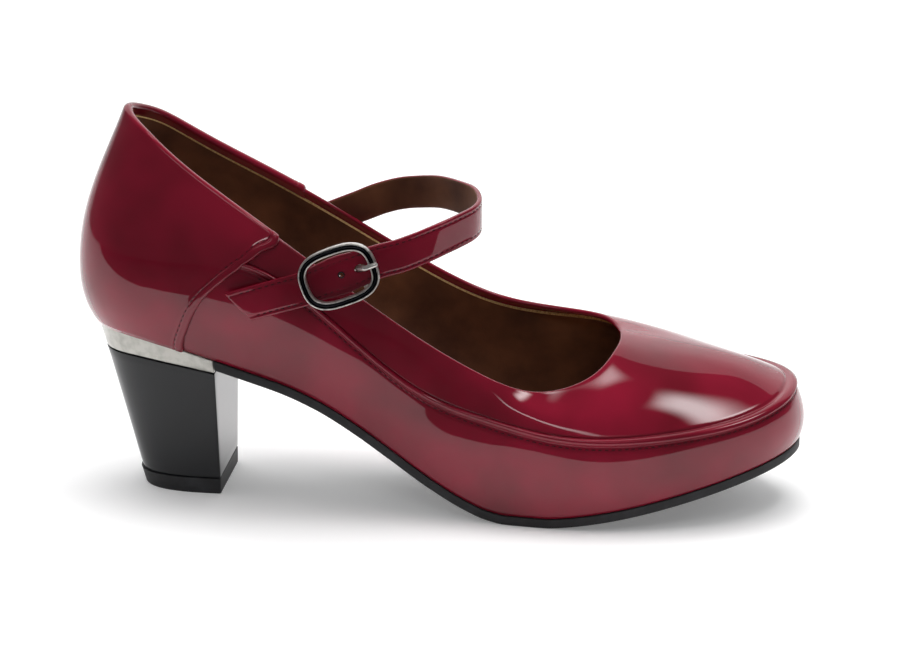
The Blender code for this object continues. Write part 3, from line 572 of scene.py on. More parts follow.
def thread():
    """Bonded polyester thread, dark cherry, twisted: a soft sheen and a fine ply."""
    made, tree, shader = principled("bonded_thread", Roughness=0.6, Specular_IOR_Level=0.1)
    ply = waves(tree, 0.25 * MM, 2)
    tree.links.new(blend_colours(tree, ply.outputs["Fac"], linear("#30060F"), colours().thread, 0.3, 0.6),
                   shader.inputs["Base Color"])
    return made


def studio_paper():
    """Studio paper: matte and almost white, with painted light: it glows by its own emission, faintly on the floor and
    more strongly up the backdrop.
    """
    made, tree, shader = principled("studio_paper", Roughness=0.9, Specular_IOR_Level=0.1)
    shader.inputs["Base Color"].default_value = colours().studio
    # Painted light: emission that rises with height, from a faint glow on the floor to a stronger one up the backdrop
    place = node(tree, "ShaderNodeSeparateXYZ", {"Vector": node(tree, "ShaderNodeTexCoord").outputs["Object"]})
    glow = node(tree, "ShaderNodeMapRange", {"Value": place.outputs["Z"], "From Min": 0.3, "From Max": 1.2,
                                             "To Min": FLOOR_GLOW, "To Max": BACKDROP_GLOW})
    tree.links.new(glow.outputs["Result"], shader.inputs["Emission Strength"])
    shader.inputs["Emission Color"].default_value = (1, 1, 1, 1)
    return made


def studio_table():
    """Grey table that the paper lies on."""
    made, tree, shader = principled("studio_table", Roughness=0.6)
    shader.inputs["Base Color"].default_value = linear("#5A5A5C")
    return made


MAKERS = {
    "patent": patent_leather, "lining": lining_leather, "cut_edge": cut_edge, "sock": sock_leather,
    "rubber": sole_rubber, "band": silver_band, "lacquer": black_lacquer, "metal": gunmetal, "lip": painted_highlight_lip,
    "thread": thread, "paper": studio_paper, "table": studio_table,
}
FINISHES = {}


def finish(name):
    if name not in FINISHES:
        FINISHES[name] = MAKERS[name]()
    return FINISHES[name]


# Rows up the wall, as places in millimetres from the seam, where the raised seam needs them
SEAM_ROWS = (-3.9, -3.3, -2.9, -2.6, -2.35, -2.1, -1.85, -1.68, -1.52, -1.38, -1.24, -1.1, -0.95, -0.75, -0.45,
             -0.05, 0.35, 0.65, 0.85, 1.0, 1.14, 1.28, 1.42, 1.56, 1.75, 2.0, 2.4, 3.0)
WALL_ROWS = 18
PLUG_ROWS = 20
LINING_ROWS = 26
RIM_ANGLES = np.radians(np.arange(12, 180, 12))
COLUMNS_PER_RIB = 20


def seam_profile(across):
    """Raised seam in section: a flat rolled ridge, a tight valley on each side and the stitched groove below."""
    across = across / MM
    valleys = 0.30 * np.exp(-((across - 1.42) / 0.28) ** 2) + 0.24 * np.exp(-((across + 1.6) / 0.26) ** 2)
    return np.exp(-(across / 1.0) ** 4) - valleys - 0.14 * np.exp(-((across + 2.35) / 0.4) ** 2)


def wall_places(rib):
    """Share up each rib for every row of the outside, closest round the seam. Rows first."""
    at_seam = size_of(climb(rib, np.full_like(rib, 0.498)))
    at_top = size_of(climb(rib, np.full_like(rib, 0.99)))
    near = [0.5 + place * MM / at_seam for place in SEAM_ROWS]
    end = 1 - sizes().rim / 2 / at_top
    wall = [near[0] * i / WALL_ROWS for i in range(WALL_ROWS)]
    plug = [near[-1] + (end - near[-1]) * (i + 1) / PLUG_ROWS for i in range(PLUG_ROWS)]
    return np.array(wall + near + plug)


def over_rim(rib, end, angles):
    """Rolled topline from the outside over to the inside: points and normals, rows first."""
    last, normal = form(rib, end), outward(rib, end)
    rise = unit(climb(rib, end))
    middle = last - normal * sizes().rim / 2
    ways = [normal * cos(angle) + rise * sin(angle) for angle in angles]
    return np.array([middle + way * sizes().rim / 2 for way in ways]), np.array(ways)


def inside_places(rib, end, depths):
    """Share up each rib for rows at these depths below the rim, on the inside."""
    at_top = size_of(climb(rib, end))
    return np.array([end - depth / at_top for depth in depths])


def ridge_at(rib):
    return np.interp(rib % TURN, [row.rib for row in RIDGE], [row.height for row in RIDGE])


def run_length(points):
    """Distance along a line of points, in metres."""
    return np.concatenate([[0], np.cumsum(size_of(np.diff(points, axis=0)))])


def make_upper():
    """Patent outside with its raised seam, rolled over the topline, then the cut edge and the lining."""
    rib = np.arange(TURN * COLUMNS_PER_RIB + 1) / COLUMNS_PER_RIB
    places = wall_places(rib)
    end = places[-1]
    across = (places - 0.5) * size_of(climb(rib, np.full_like(rib, 0.498)))
    outside, normal = form(rib, places), outward(rib, places)
    lift = sizes().ridge * ridge_at(rib) * seam_profile(across) + crease_height(outside)
    fade = np.clip(places / 0.06, 0, 1) * np.clip((1 - places) / 0.04, 0, 1)
    outside = outside + normal * (lift * fade)[..., None]
    rim, _ = over_rim(rib, end, RIM_ANGLES)

    wall = sizes().rim
    fold = sizes().fold
    cut = wall + sizes().lining
    depths = (0, 0.25 * fold, 0.5 * fold, 0.75 * fold, fold, fold, 1.12 * fold)
    through = (wall, wall * 0.96, wall * 0.92, wall * 0.92, wall * 0.94, cut, cut)
    band = inside_places(rib, end, depths)
    inside = [form(rib, up) - outward(rib, up) * thick for up, thick in zip(band, through)]
    lining = [band[-1] * (1 - i / LINING_ROWS) for i in range(1, LINING_ROWS)]
    inside += [form(rib, up) - outward(rib, up) * cut for up in lining]
    foot = form(rib, np.zeros_like(rib))
    foot[:, :2] += inward(FOOT, rib) * cut / np.cos(np.radians(LEAN(rib)[:, :1]))
    rows = wrapped(np.concatenate([outside, rim, np.array(inside), foot[None]]))

    strips = np.zeros(len(rows) - 1, int)
    first_cut = len(outside) + len(rim) + 4
    strips[first_cut:first_cut + 2] = 1
    strips[first_cut + 2:-1] = 2
    down = run_length(rows[:, TURN * COLUMNS_PER_RIB // 4])
    along = run_length(rows[0])
    uv = np.stack(np.broadcast_arrays(along[None, :], down[:, None]), -1)
    piece = skin("upper_wall", rows, [finish("patent"), finish("cut_edge"), finish("lining")], strips, uv)
    dress(piece, "patent", "upper")


# Places behind the counter's front edge, in millimetres, where its fold and stitch line need rows
EDGE_ROWS = (0, 0.06, 0.18, 0.35, 0.6, 0.9, 1.3, 1.8, 2.3, 2.6, 2.8, 3.0, 3.2, 3.4, 3.7, 4.2, 5.0)
STITCH_INSET = 3.0 * MM
COUNTER_MIDDLE = 150
COUNTER_ROWS = 44


def counter_section(behind):
    """Thickness of the counter at a distance behind its folded edge: thicker over the fold, drawn in at the
    stitches."""
    round_edge = np.sqrt(1 - (1 - np.clip(behind / (0.9 * MM), 0, 1)) ** 2)
    fold = 1 + 0.22 * (1 - np.clip((behind - 3.2 * MM) / (0.9 * MM), 0, 1))
    stitches = 0.22 * np.exp(-((behind - STITCH_INSET) / (0.32 * MM)) ** 2)
    return sizes().counter * round_edge * (fold - stitches)


def make_counter():
    """Back panel: folded front edges, rolled over the topline with the upper."""
    rows = np.linspace(0, 1, COUNTER_ROWS)
    edge = smooth_table(rows, COUNTER_EDGE)
    deepest = EDGE_ROWS[-1] * MM
    behind = [place * MM for place in EDGE_ROWS]
    stations = [(-1, place) for place in behind[:-1]]
    stations += [(share, None) for share in np.linspace(-1, 1, COUNTER_MIDDLE)]
    stations += [(1, place) for place in behind[::-1][1:]]
    scale = {side: size_of(form(side * edge + 0.02, rows) - form(side * edge - 0.02, rows)) / 0.04
             for side in (-1, 1)}
    sections, marks = [], []
    for side, place in stations:
        if place is None:
            low, high = -edge + deepest / scale[-1], edge - deepest / scale[1]
            rib = low + (high - low) * (side + 1) / 2
            thick = counter_section(np.full_like(rows, 2 * deepest))
        else:
            rib = side * (edge - place / scale[side])
            thick = counter_section(np.full_like(rows, place))
        at_top = size_of(climb(rib, np.full_like(rib, 0.99)))
        up = rows * (1 - sizes().rim / 2 / at_top)
        outside, normal = form(rib, up), outward(rib, up)
        lift = crease_height(outside) * np.clip(rows / 0.06, 0, 1) * np.clip((1 - rows) / 0.04, 0, 1)
        outside = outside + normal * lift[:, None]
        top = np.full(len(RIM_ANGLES), rib[-1])
        rim, rim_way = over_rim(top[0], up[-1], RIM_ANGLES)
        depths = np.linspace(0, sizes().fold, 5)
        ups = inside_places(rib[-1], up[-1], depths)
        in_way = outward(np.full(5, rib[-1]), ups)
        inner = form(np.full(5, rib[-1]), ups) - in_way * sizes().rim
        base = np.concatenate([outside, rim, inner])
        way = np.concatenate([normal, rim_way, -in_way])
        wide = np.concatenate([thick, np.linspace(thick[-1], 0.35 * thick[-1], len(rim)),
                               np.linspace(0.35, 0.2, 5) * thick[-1]])
        film = min(0.04 * MM, 0.5 * float(thick.max()))
        sections.append(np.concatenate([base + way * (wide[:, None] + film), (base + way * film)[::-1]]))
        marks.append(side)
    piece = loft("counter_panel", sections, [finish("patent")])
    dress(piece, "patent", "counter")


# Heel: the frame's own sizes
BREAST_X = 12.5 * MM
BAND_BACK = 8.6 * MM
BAND_BREAST = 4.7 * MM
HEEL_TOP_BACK = -27.1 * MM
HEEL_TOP_HALF = 22.5 * MM
HEEL_FOOT_BACK = -16.2 * MM
HEEL_FOOT_HALF = 16.4 * MM
HEEL_TOP_POWER = 2.3
HEEL_FOOT_POWER = 2.7
LIFT_HEIGHT = 5.5 * MM
LIFT_STEP = 0.5 * MM
LIFT_TAPER = 1.0 * MM
HEEL_STATIONS = 40
INSOLE_THICK = 2.4 * MM
SOLE_STATIONS = 150


def outline(inset):
    """Outer and inner half of the foot edge, moved into the shoe: two tables of x and y from back to tip."""
    rib = np.linspace(0, TURN, TURN * 100, endpoint=False)
    points = FOOT(rib) + inward(FOOT, rib) * inset
    back, tip = int(np.argmin(points[:, 0])), int(np.argmax(points[:, 0]))
    points = np.roll(points, -back, 0)
    tip = (tip - back) % len(points)
    return points[:tip + 1], np.concatenate([points[tip:], points[:1]])[::-1]


def sole_underside(x):
    """Height of the outsole's lower face: the sole keeps its thickness where the arch climbs."""
    step = 1 * MM
    slope = (foot_height(x + step) - foot_height(x - step)) / (2 * step)
    return foot_height(x) - GAP - SOLE_THICK * np.sqrt(1 + slope ** 2)


def board(name, start_x, inset, section, materials, strips):
    """Layer under the foot from start_x, or its own back, to its tip. section gives, from x and the half width,
    the share of the half width and the height of each point of the outer half."""
    outer, inner = outline(inset)
    whole = start_x is None
    start, tip = outer[0, 0] if whole else start_x, outer[-1, 0]
    share = np.linspace(0, 1, SOLE_STATIONS + 1)
    along = (1 - np.cos(share * pi)) / 2 if whole else np.sin(share * pi / 2)
    sections = []
    for x in start + (tip - start) * along:
        left, right = np.interp(x, *outer.T), np.interp(x, *inner.T)
        middle, half = (left + right) / 2, (right - left) / 2
        half_points = section(x, half)
        outer_half = [(x, middle - half * part, height) for part, height in half_points]
        inner_half = [(x, middle + half * part, height) for part, height in half_points]
        sections.append(outer_half + inner_half[::-1])
    return loft(name, sections, materials, strips)


def make_outsole():
    """Moulded outsole: square upper edge, rounded lower edge, shallow hollow with a rim underneath."""
    rim, recess = 4.5 * MM, 0.35 * MM

    def section(x, half):
        low, high = float(sole_underside(x)), float(foot_height(x)) - GAP
        edge = min(sizes().sole_edge, half)
        turn = np.linspace(0, pi / 2, 6)
        points = [(0.0, high), (max(0.0, 1 - 0.25 * MM / max(half, 1e-6)), high), (1.0, high - 0.25 * MM)]
        points += [(1.0, high - 0.6 * (high - low - edge)), (1.0, low + edge)]
        points += [(1 - edge * (1 - cos(angle)) / max(half, 1e-6), low + edge * (1 - sin(angle)))
                   for angle in turn[1:]]
        deep = recess if half > 2 * rim and x > BREAST_X + 6 * MM else 0.0
        inner = max(0.0, 1 - rim / max(half, 1e-6))
        points += [(inner, low), (inner * 0.985, low + deep), (inner * 0.6, low + deep), (0.0, low + deep)]
        return points

    piece = board("outsole_tread", BREAST_X + GAP, 0, section, [finish("rubber")], None)
    sharpen(piece, 35)
    dress(piece, "sole", "outsole")


def make_insole():
    """Sock over the insole board, softly dished, its edge tucked against the lining."""
    inset = sizes().rim / cos(radians(max(rib.foot_lean for rib in RIBS))) + GAP + 0.2 * MM

    def section(x, half):
        low, high = float(foot_height(x)), float(foot_height(x)) + INSOLE_THICK
        parts = (1.0, 0.995, 0.985, 0.96, 0.9, 0.8, 0.7, 0.6, 0.5, 0.4, 0.3, 0.2, 0.1, 0.0)
        dish = min(1.0, half / (25 * MM)) * 0.9 * MM
        points = [(0.0, low), (1.0, low), (1.0, high - 0.5 * MM)]
        for part in parts[1:]:
            rounded = 0.35 * MM * max(0.0, (part - 0.96) / 0.04) ** 2
            points.append((part, high - rounded + dish * part ** 4 - 0.4 * dish))
        return points

    piece = board("insole_sock", None, inset, section, [finish("sock")], None)
    sharpen(piece, 50)
    dress(piece, "sock", "insole")


def heel_plan(back_x, sides, corner):
    """Ring round the heel's plan: round behind, straight across the breast, with rounded corners there."""
    turn = np.linspace(0, pi / 2, 7)
    half = np.diff(sides(np.array([BREAST_X])), axis=0)[0, 0] / 2
    x = back_x + (BREAST_X - corner - back_x) * (1 - np.cos(np.linspace(0, 1, HEEL_STATIONS) * pi / 2))
    share = np.ones_like(x)
    x = np.concatenate([x, BREAST_X - corner + corner * np.sin(turn[1:]), np.full(7, BREAST_X)])
    share = np.concatenate([share, 1 - corner / half * (1 - np.cos(turn[1:])),
                            np.linspace(1 - corner / half, 0, 8)[1:]])
    left, right = sides(x)
    middle = (left + right) / 2
    outer = np.stack([x, middle + (left - middle) * share], 1)
    inner = np.stack([x, middle + (right - middle) * share], 1)
    return np.concatenate([outer, inner[::-1]])


def heel_level(back_x, half_width, power):
    """Plan of a level of the heel block, as its two sides at x."""
    def sides(x):
        along = np.clip((x - back_x) / (BREAST_X - back_x), 0, 1)
        half = half_width * (1 - (1 - along) ** power) ** (1 / power)
        return np.stack([-half, half])
    return heel_plan(back_x, sides, sizes().heel_corner)


def stacked(name, levels, edge, materials):
    """Piece lofted between two plans, each with a height for every x, with its rims rounded by edge."""
    (top, top_at), (foot, foot_at) = levels
    turn = np.linspace(0, pi / 2, 5)
    rings = []
    for drop, inset in [(edge * (1 - sin(a)), edge * (1 - cos(a))) for a in turn[::-1]]:
        rings.append((0.0, drop, inset))
    rings += [(share, 0.0, 0.0) for share in np.linspace(0, 1, 14)[1:-1]]
    for drop, inset in [(edge * (1 - sin(a)), edge * (1 - cos(a))) for a in turn]:
        rings.append((1.0, -drop, inset))
    sections = []
    for share, drop, inset in rings:
        plan = top * (1 - share) + foot * share
        away = np.roll(plan, -1, 0) - np.roll(plan, 1, 0)
        away = np.stack([away[:, 1], -away[:, 0]], 1)
        size = np.maximum(np.linalg.norm(away, axis=1, keepdims=True), 1e-9)
        plan = plan - away / size * inset
        height = top_at(top[:, 0]) * (1 - share) + foot_at(foot[:, 0]) * share - drop
        sections.append(np.concatenate([plan, height[:, None]], 1))
    piece = loft(name, sections, materials)
    sharpen(piece, 42)
    return piece


def band_underside(x):
    share = (x - HEEL_TOP_BACK) / (BREAST_X - HEEL_TOP_BACK)
    return foot_height(x) - GAP - (BAND_BACK + (BAND_BREAST - BAND_BACK) * share)


def make_heel():
    """Silver band under the heel seat, lacquered block and its top lift."""
    outer, inner = outline(0)

    def seat_sides(x):
        return np.stack([np.interp(x, *outer.T), np.interp(x, *inner.T)])

    seat = heel_plan(outer[0, 0], seat_sides, sizes().heel_corner)
    under_band = heel_level(HEEL_TOP_BACK, HEEL_TOP_HALF, HEEL_TOP_POWER)
    over_lift = heel_level(HEEL_FOOT_BACK, HEEL_FOOT_HALF, HEEL_FOOT_POWER)
    lift_top = heel_level(HEEL_FOOT_BACK - LIFT_STEP, HEEL_FOOT_HALF, HEEL_FOOT_POWER)
    lift_foot = heel_level(HEEL_FOOT_BACK + LIFT_TAPER, HEEL_FOOT_HALF - LIFT_STEP, HEEL_FOOT_POWER)
    band = stacked("heel_band_foil", [(seat, lambda x: foot_height(x) - GAP), (under_band, band_underside)],
                   0.3 * MM, [finish("band")])
    dress(band, "band", "heel_band")
    block = stacked("heel_block_lacquered", [(under_band, lambda x: band_underside(x) - GAP),
                                             (over_lift, lambda x: np.full_like(x, LIFT_HEIGHT + GAP))],
                    0.3 * MM, [finish("lacquer")])
    dress(block, "block", "heel_block")
    lift = stacked("top_lift_rubber", [(lift_top, lambda x: np.full_like(x, LIFT_HEIGHT)),
                                       (lift_foot, lambda x: np.zeros_like(x))], 0.35 * MM, [finish("rubber")])
    dress(lift, "sole", "top_lift")


# Strap and buckle: the frame's own sizes
STRAP_WIDTH = 10.9 * MM
STRAP_THICK = 1.8 * MM
TIP_SLANT = 0.47
TIP_BLEND = 2.0
HOLE_WIDTH = 2.6 * MM
HOLE_LENGTH = 3.8 * MM
BUCKLE_STATION = 17.55
FRAME_LENGTH = 25.5 * MM
FRAME_HEIGHT = 19.3 * MM
FRAME_RIM = 2.6 * MM
FRAME_DEPTH = 2.2 * MM
FRAME_POWER = 2.9
BAR_AT = 6.4 * MM
BAR_DIAMETER = 1.5 * MM
PRONG_DIAMETER = 2.0 * MM
PRONG_OVERHANG = 0.6 * MM
STRAP_STEPS = 10
ANCHOR_SINK = 1.15 * MM
ANCHOR_STOPS = 1.3
ANCHOR_STITCHES = 0.3
END_ROUND = 0.7 * MM
BULGE = 0.15
BULGE_STATION = 17.5
SPARE_HOLE_AT = 0.7 * MM
SPARE_HOLE = 1.5 * MM

# Route of the strap's middle, from the inner quarter over the instep to its tip on the outer quarter. x and z
# are shares of LENGTH and y of BALL_WIDTH. A stop with no y lies on the quarter of its side, and takes its
# lean from it. A lean is in degrees, inward at the top if positive.
Stop = namedtuple("Stop", "x y z side lean")
ROUTE = [
    Stop(0.267, None, 0.317, 1, None), Stop(0.300, None, 0.333, 1, None), Stop(0.336, 0.438, 0.349, 1, 7),
    Stop(0.372, 0.436, 0.364, 1, 6), Stop(0.401, 0.423, 0.377, 1, 5), Stop(0.431, 0.400, 0.387, 1, 3),
    Stop(0.460, 0.353, 0.394, 1, 0), Stop(0.491, 0.273, 0.401, 1, 0), Stop(0.521, 0.164, 0.404, 1, 0),
    Stop(0.545, 0.053, 0.405, 1, 0), Stop(0.556, -0.067, 0.401, -1, 0), Stop(0.552, -0.160, 0.397, -1, 0),
    Stop(0.535, -0.240, 0.392, -1, 0), Stop(0.511, -0.313, 0.385, -1, 0), Stop(0.487, -0.364, 0.377, -1, 2),
    Stop(0.461, -0.404, 0.369, -1, 4), Stop(0.436, -0.435, 0.364, -1, 5), Stop(0.401, -0.451, 0.3515, -1, 5),
    Stop(0.368, -0.459, 0.339, -1, 6), Stop(0.334, -0.464, 0.3245, -1, 7), Stop(0.300, None, 0.3135, -1, None),
    Stop(0.270, None, 0.304, -1, None), Stop(0.245, None, 0.2955, -1, None),
]


def quarter_side(x, z, side):
    """How far the quarter stands out at a place on its side."""
    start, end = (1, TURN / 2) if side < 0 else (TURN / 2, TURN - 1)
    rib, up = np.meshgrid(np.linspace(start, end, 260), np.linspace(0, 1, 120), indexing="ij")
    points = form(rib, up).reshape(-1, 3)
    nearest = np.argmin((points[:, 0] - x) ** 2 + (points[:, 2] - z) ** 2)
    return points[nearest, 1]


def strap_route():
    """Smooth middle line of the strap with its lean: rows of x, y, z and lean."""
    rows = []
    for stop in ROUTE:
        x, z, lean = BACK_X + stop.x * LENGTH, stop.z * LENGTH, stop.lean
        if stop.y is None:
            low, middle, high = (abs(quarter_side(x, z + rise, stop.side))
                                 for rise in (-STRAP_WIDTH / 2, 0, STRAP_WIDTH / 2))
            y = stop.side * (max(middle, (low + high) / 2) + 1.0 * MM + GAP + STRAP_THICK / 2)
            lean = degrees(atan2(low - high, STRAP_WIDTH))
        else:
            y = stop.y * BALL_WIDTH
        rows.append((x, y, z, lean))
    rows = np.array(rows)
    return np.concatenate([[2 * rows[0] - rows[1]], rows, [2 * rows[-1] - rows[-2]]])


def strap_frame(rows, station):
    """Place on the strap at a station: its middle, the way along, the way up its width and the way out."""
    i = min(int(station), len(rows) - 4)
    t = station - i
    a, b, c, d = rows[i:i + 4]
    point = b + 0.5 * t * (c - a + t * (2 * a - 5 * b + 4 * c - d + t * (3 * (b - c) + d - a)))
    slope = 0.5 * (c - a + t * (4 * a - 10 * b + 8 * c - 2 * d + t * 3 * (3 * (b - c) + d - a)))
    along = Vector(slope[:3]).normalized()
    width = (Vector((0, 0, 1)) - along * along.z).normalized()
    out = width.cross(along)
    lean = radians(point[3])
    up = width * np.cos(lean) - out * np.sin(lean)
    away = width * np.sin(lean) + out * np.cos(lean)
    sink = ANCHOR_SINK * max(0.0, 1 - station / ANCHOR_STOPS) ** 1.5
    return Vector(point[:3]) - away * sink, along, up, away


def strap_profile():
    """Strap in section: domed patent over foam, with the two stitch lines drawn in, and the lining inside."""
    wide, thick = STRAP_WIDTH / 2, STRAP_THICK / 2
    round_edge = 0.55 * MM
    turn = np.linspace(0, pi / 2, 5)
    edge = [(wide - round_edge * (1 - cos(a)), thick - round_edge * (1 - sin(a)) - 0.1 * MM) for a in turn]
    across = np.linspace(wide - round_edge, -(wide - round_edge), 31)[1:-1]
    dome = 0.12 * MM * (1 - (across / wide) ** 2)
    drawn = 0.17 * MM * np.exp(-((wide - np.abs(across) - 1.35 * MM) / (0.3 * MM)) ** 2)
    face = list(zip(across, thick - 0.1 * MM + dome - drawn))
    far = [(-a, t) for a, t in edge[::-1]]
    back_edge = [(-wide, -thick + 0.45 * MM), (-wide + 0.2 * MM, -thick + 0.12 * MM), (-wide + 0.6 * MM, -thick)]
    back = list(zip(np.linspace(-wide + 1.2 * MM, wide - 1.2 * MM, 24), np.full(24, -thick)))
    near_edge = [(-a, t) for a, t in back_edge[::-1]]
    outside = edge + face + far
    inside = back_edge + back + near_edge
    return outside, inside


def strap_sections():
    rows = strap_route()
    last = len(ROUTE) - 1
    outside, inside = strap_profile()
    profile = outside + inside
    sections, lengths = [], []
    stations = list(np.linspace(0, last, last * STRAP_STEPS + 1))
    final = strap_frame(rows, last)[0] - strap_frame(rows, last - 0.1)[0]
    stop = final.length * 10
    turn = np.linspace(0, pi / 2, 6)
    rounding = {last - END_ROUND * (1 - sin(a)) / stop: END_ROUND * (1 - cos(a)) for a in turn}
    start = {END_ROUND * (1 - sin(a)) / stop: END_ROUND * (1 - cos(a)) for a in turn}
    stations = [s for s in stations if max(start) + 0.02 < s < min(rounding) - 0.02]
    stations = sorted(start) + stations + sorted(rounding)
    rounding.update(start)
    run, before = 0.0, None
    for station in stations:
        place, along, up, out = (np.array(way) for way in strap_frame(rows, station))
        run += 0 if before is None else float(np.linalg.norm(place - before))
        before = place
        slant = TIP_SLANT * np.clip((station - last + TIP_BLEND) / TIP_BLEND, 0, 1)
        wide = 1 + BULGE * np.exp(-((station - BULGE_STATION) / 0.75) ** 2)
        drop = rounding.get(station, 0.0)
        sections.append([place + up * a * wide + out * (t - drop if t > 0 else t) + along * a * slant
                         for a, t in profile])
        lengths.append(run)
    return np.array(sections), np.array(lengths), len(outside), profile


def strap_seat():
    place, along, up, out = strap_frame(strap_route(), BUCKLE_STATION)
    return place, -along, up, out


def cut_through(piece, place, length_way, width_way, depth_way, hole_length, hole_width):
    """Oval hole through the piece."""
    bpy.ops.object.select_all(action="DESELECT")
    bpy.ops.mesh.primitive_cylinder_add(vertices=24, radius=0.5, depth=1)
    cutter = bpy.context.object
    rows = [list(row) + [start] for row, start in zip(zip(length_way, width_way, depth_way), place)]
    cutter.data.transform(Matrix(rows + [[0, 0, 0, 1]]) @ Matrix.Diagonal((hole_length, hole_width, 6 * MM, 1)))
    cut = piece.modifiers.new("hole", "BOOLEAN")
    cut.operation = "DIFFERENCE"
    cut.object = cutter
    select_only(piece)
    bpy.ops.object.modifier_apply(modifier=cut.name)
    bpy.data.objects.remove(cutter)


def make_strap():
    """Strap: patent outside, creased lining inside, with the prong's hole and a spare one."""
    sections, lengths, outer_count, profile = strap_sections()
    strips = np.zeros(len(profile), int)
    strips[outer_count + 1:len(profile) - 2] = 1
    across = np.array([a for a, _ in profile] + [profile[0][0]])
    uv = np.stack(np.broadcast_arrays(lengths[:, None], across[None, :]), -1)
    piece = loft("strap_patent", sections, [finish("patent"), finish("lining")], strips, uv)
    place, toe, up, out = strap_seat()
    cut_through(piece, place + toe * (BAR_AT + HOLE_LENGTH / 6), toe, up, out, HOLE_LENGTH, HOLE_WIDTH)
    cut_through(piece, place + toe * SPARE_HOLE_AT, toe, up, out, SPARE_HOLE, SPARE_HOLE)
    sharpen(piece, 45)
    dress(piece, "patent", "strap")
    bpy.ops.object.select_all(action="DESELECT")
    bpy.ops.mesh.primitive_torus_add(major_radius=SPARE_HOLE / 2 + 0.15 * MM, minor_radius=0.2 * MM,
                                     major_segments=32, minor_segments=8)
    ring = bpy.context.object
    ring.name = ring.data.name = "spare_hole_eyelet"
    seat = place + toe * SPARE_HOLE_AT + out * (STRAP_THICK / 2 + 0.02 * MM)
    rows = [list(row) + [start] for row, start in zip(zip(toe, up, out), seat)]
    ring.data.transform(Matrix(rows + [[0, 0, 0, 1]]))
    ring.data.materials.append(finish("metal"))
    bpy.ops.object.shade_smooth()
    dress(ring, "patent")


def tube(name, path, radii, flat, materials):
    """Round bar along a path with a radius at each point. flat sets how the round section is turned about the path."""
    path = np.asarray(path, float)
    way = unit(np.gradient(path, axis=0))
    side = unit(np.cross(way, flat))
    top = np.cross(side, way)
    turn = (np.arange(16) + 0.5) * 2 * pi / 16
    sections = [p + (np.outer(np.cos(turn), s) + np.outer(np.sin(turn), t)) * r
                for p, s, t, r in zip(path, side, top, radii)]
    return loft(name, sections, materials)


def smooth_path(points, count):
    """Points along a smooth curve through the given ones."""
    points = np.asarray(points, float)
    padded = np.concatenate([[2 * points[0] - points[1]], points, [2 * points[-1] - points[-2]]])
    out = []
    for station in np.linspace(0, len(points) - 1, count):
        i = min(int(station), len(points) - 2)
        t = station - i
        a, b, c, d = padded[i:i + 4]
        out.append(b + 0.5 * t * (c - a + t * (2 * a - 5 * b + 4 * c - d + t * (3 * (b - c) + d - a))))
    return np.array(out)


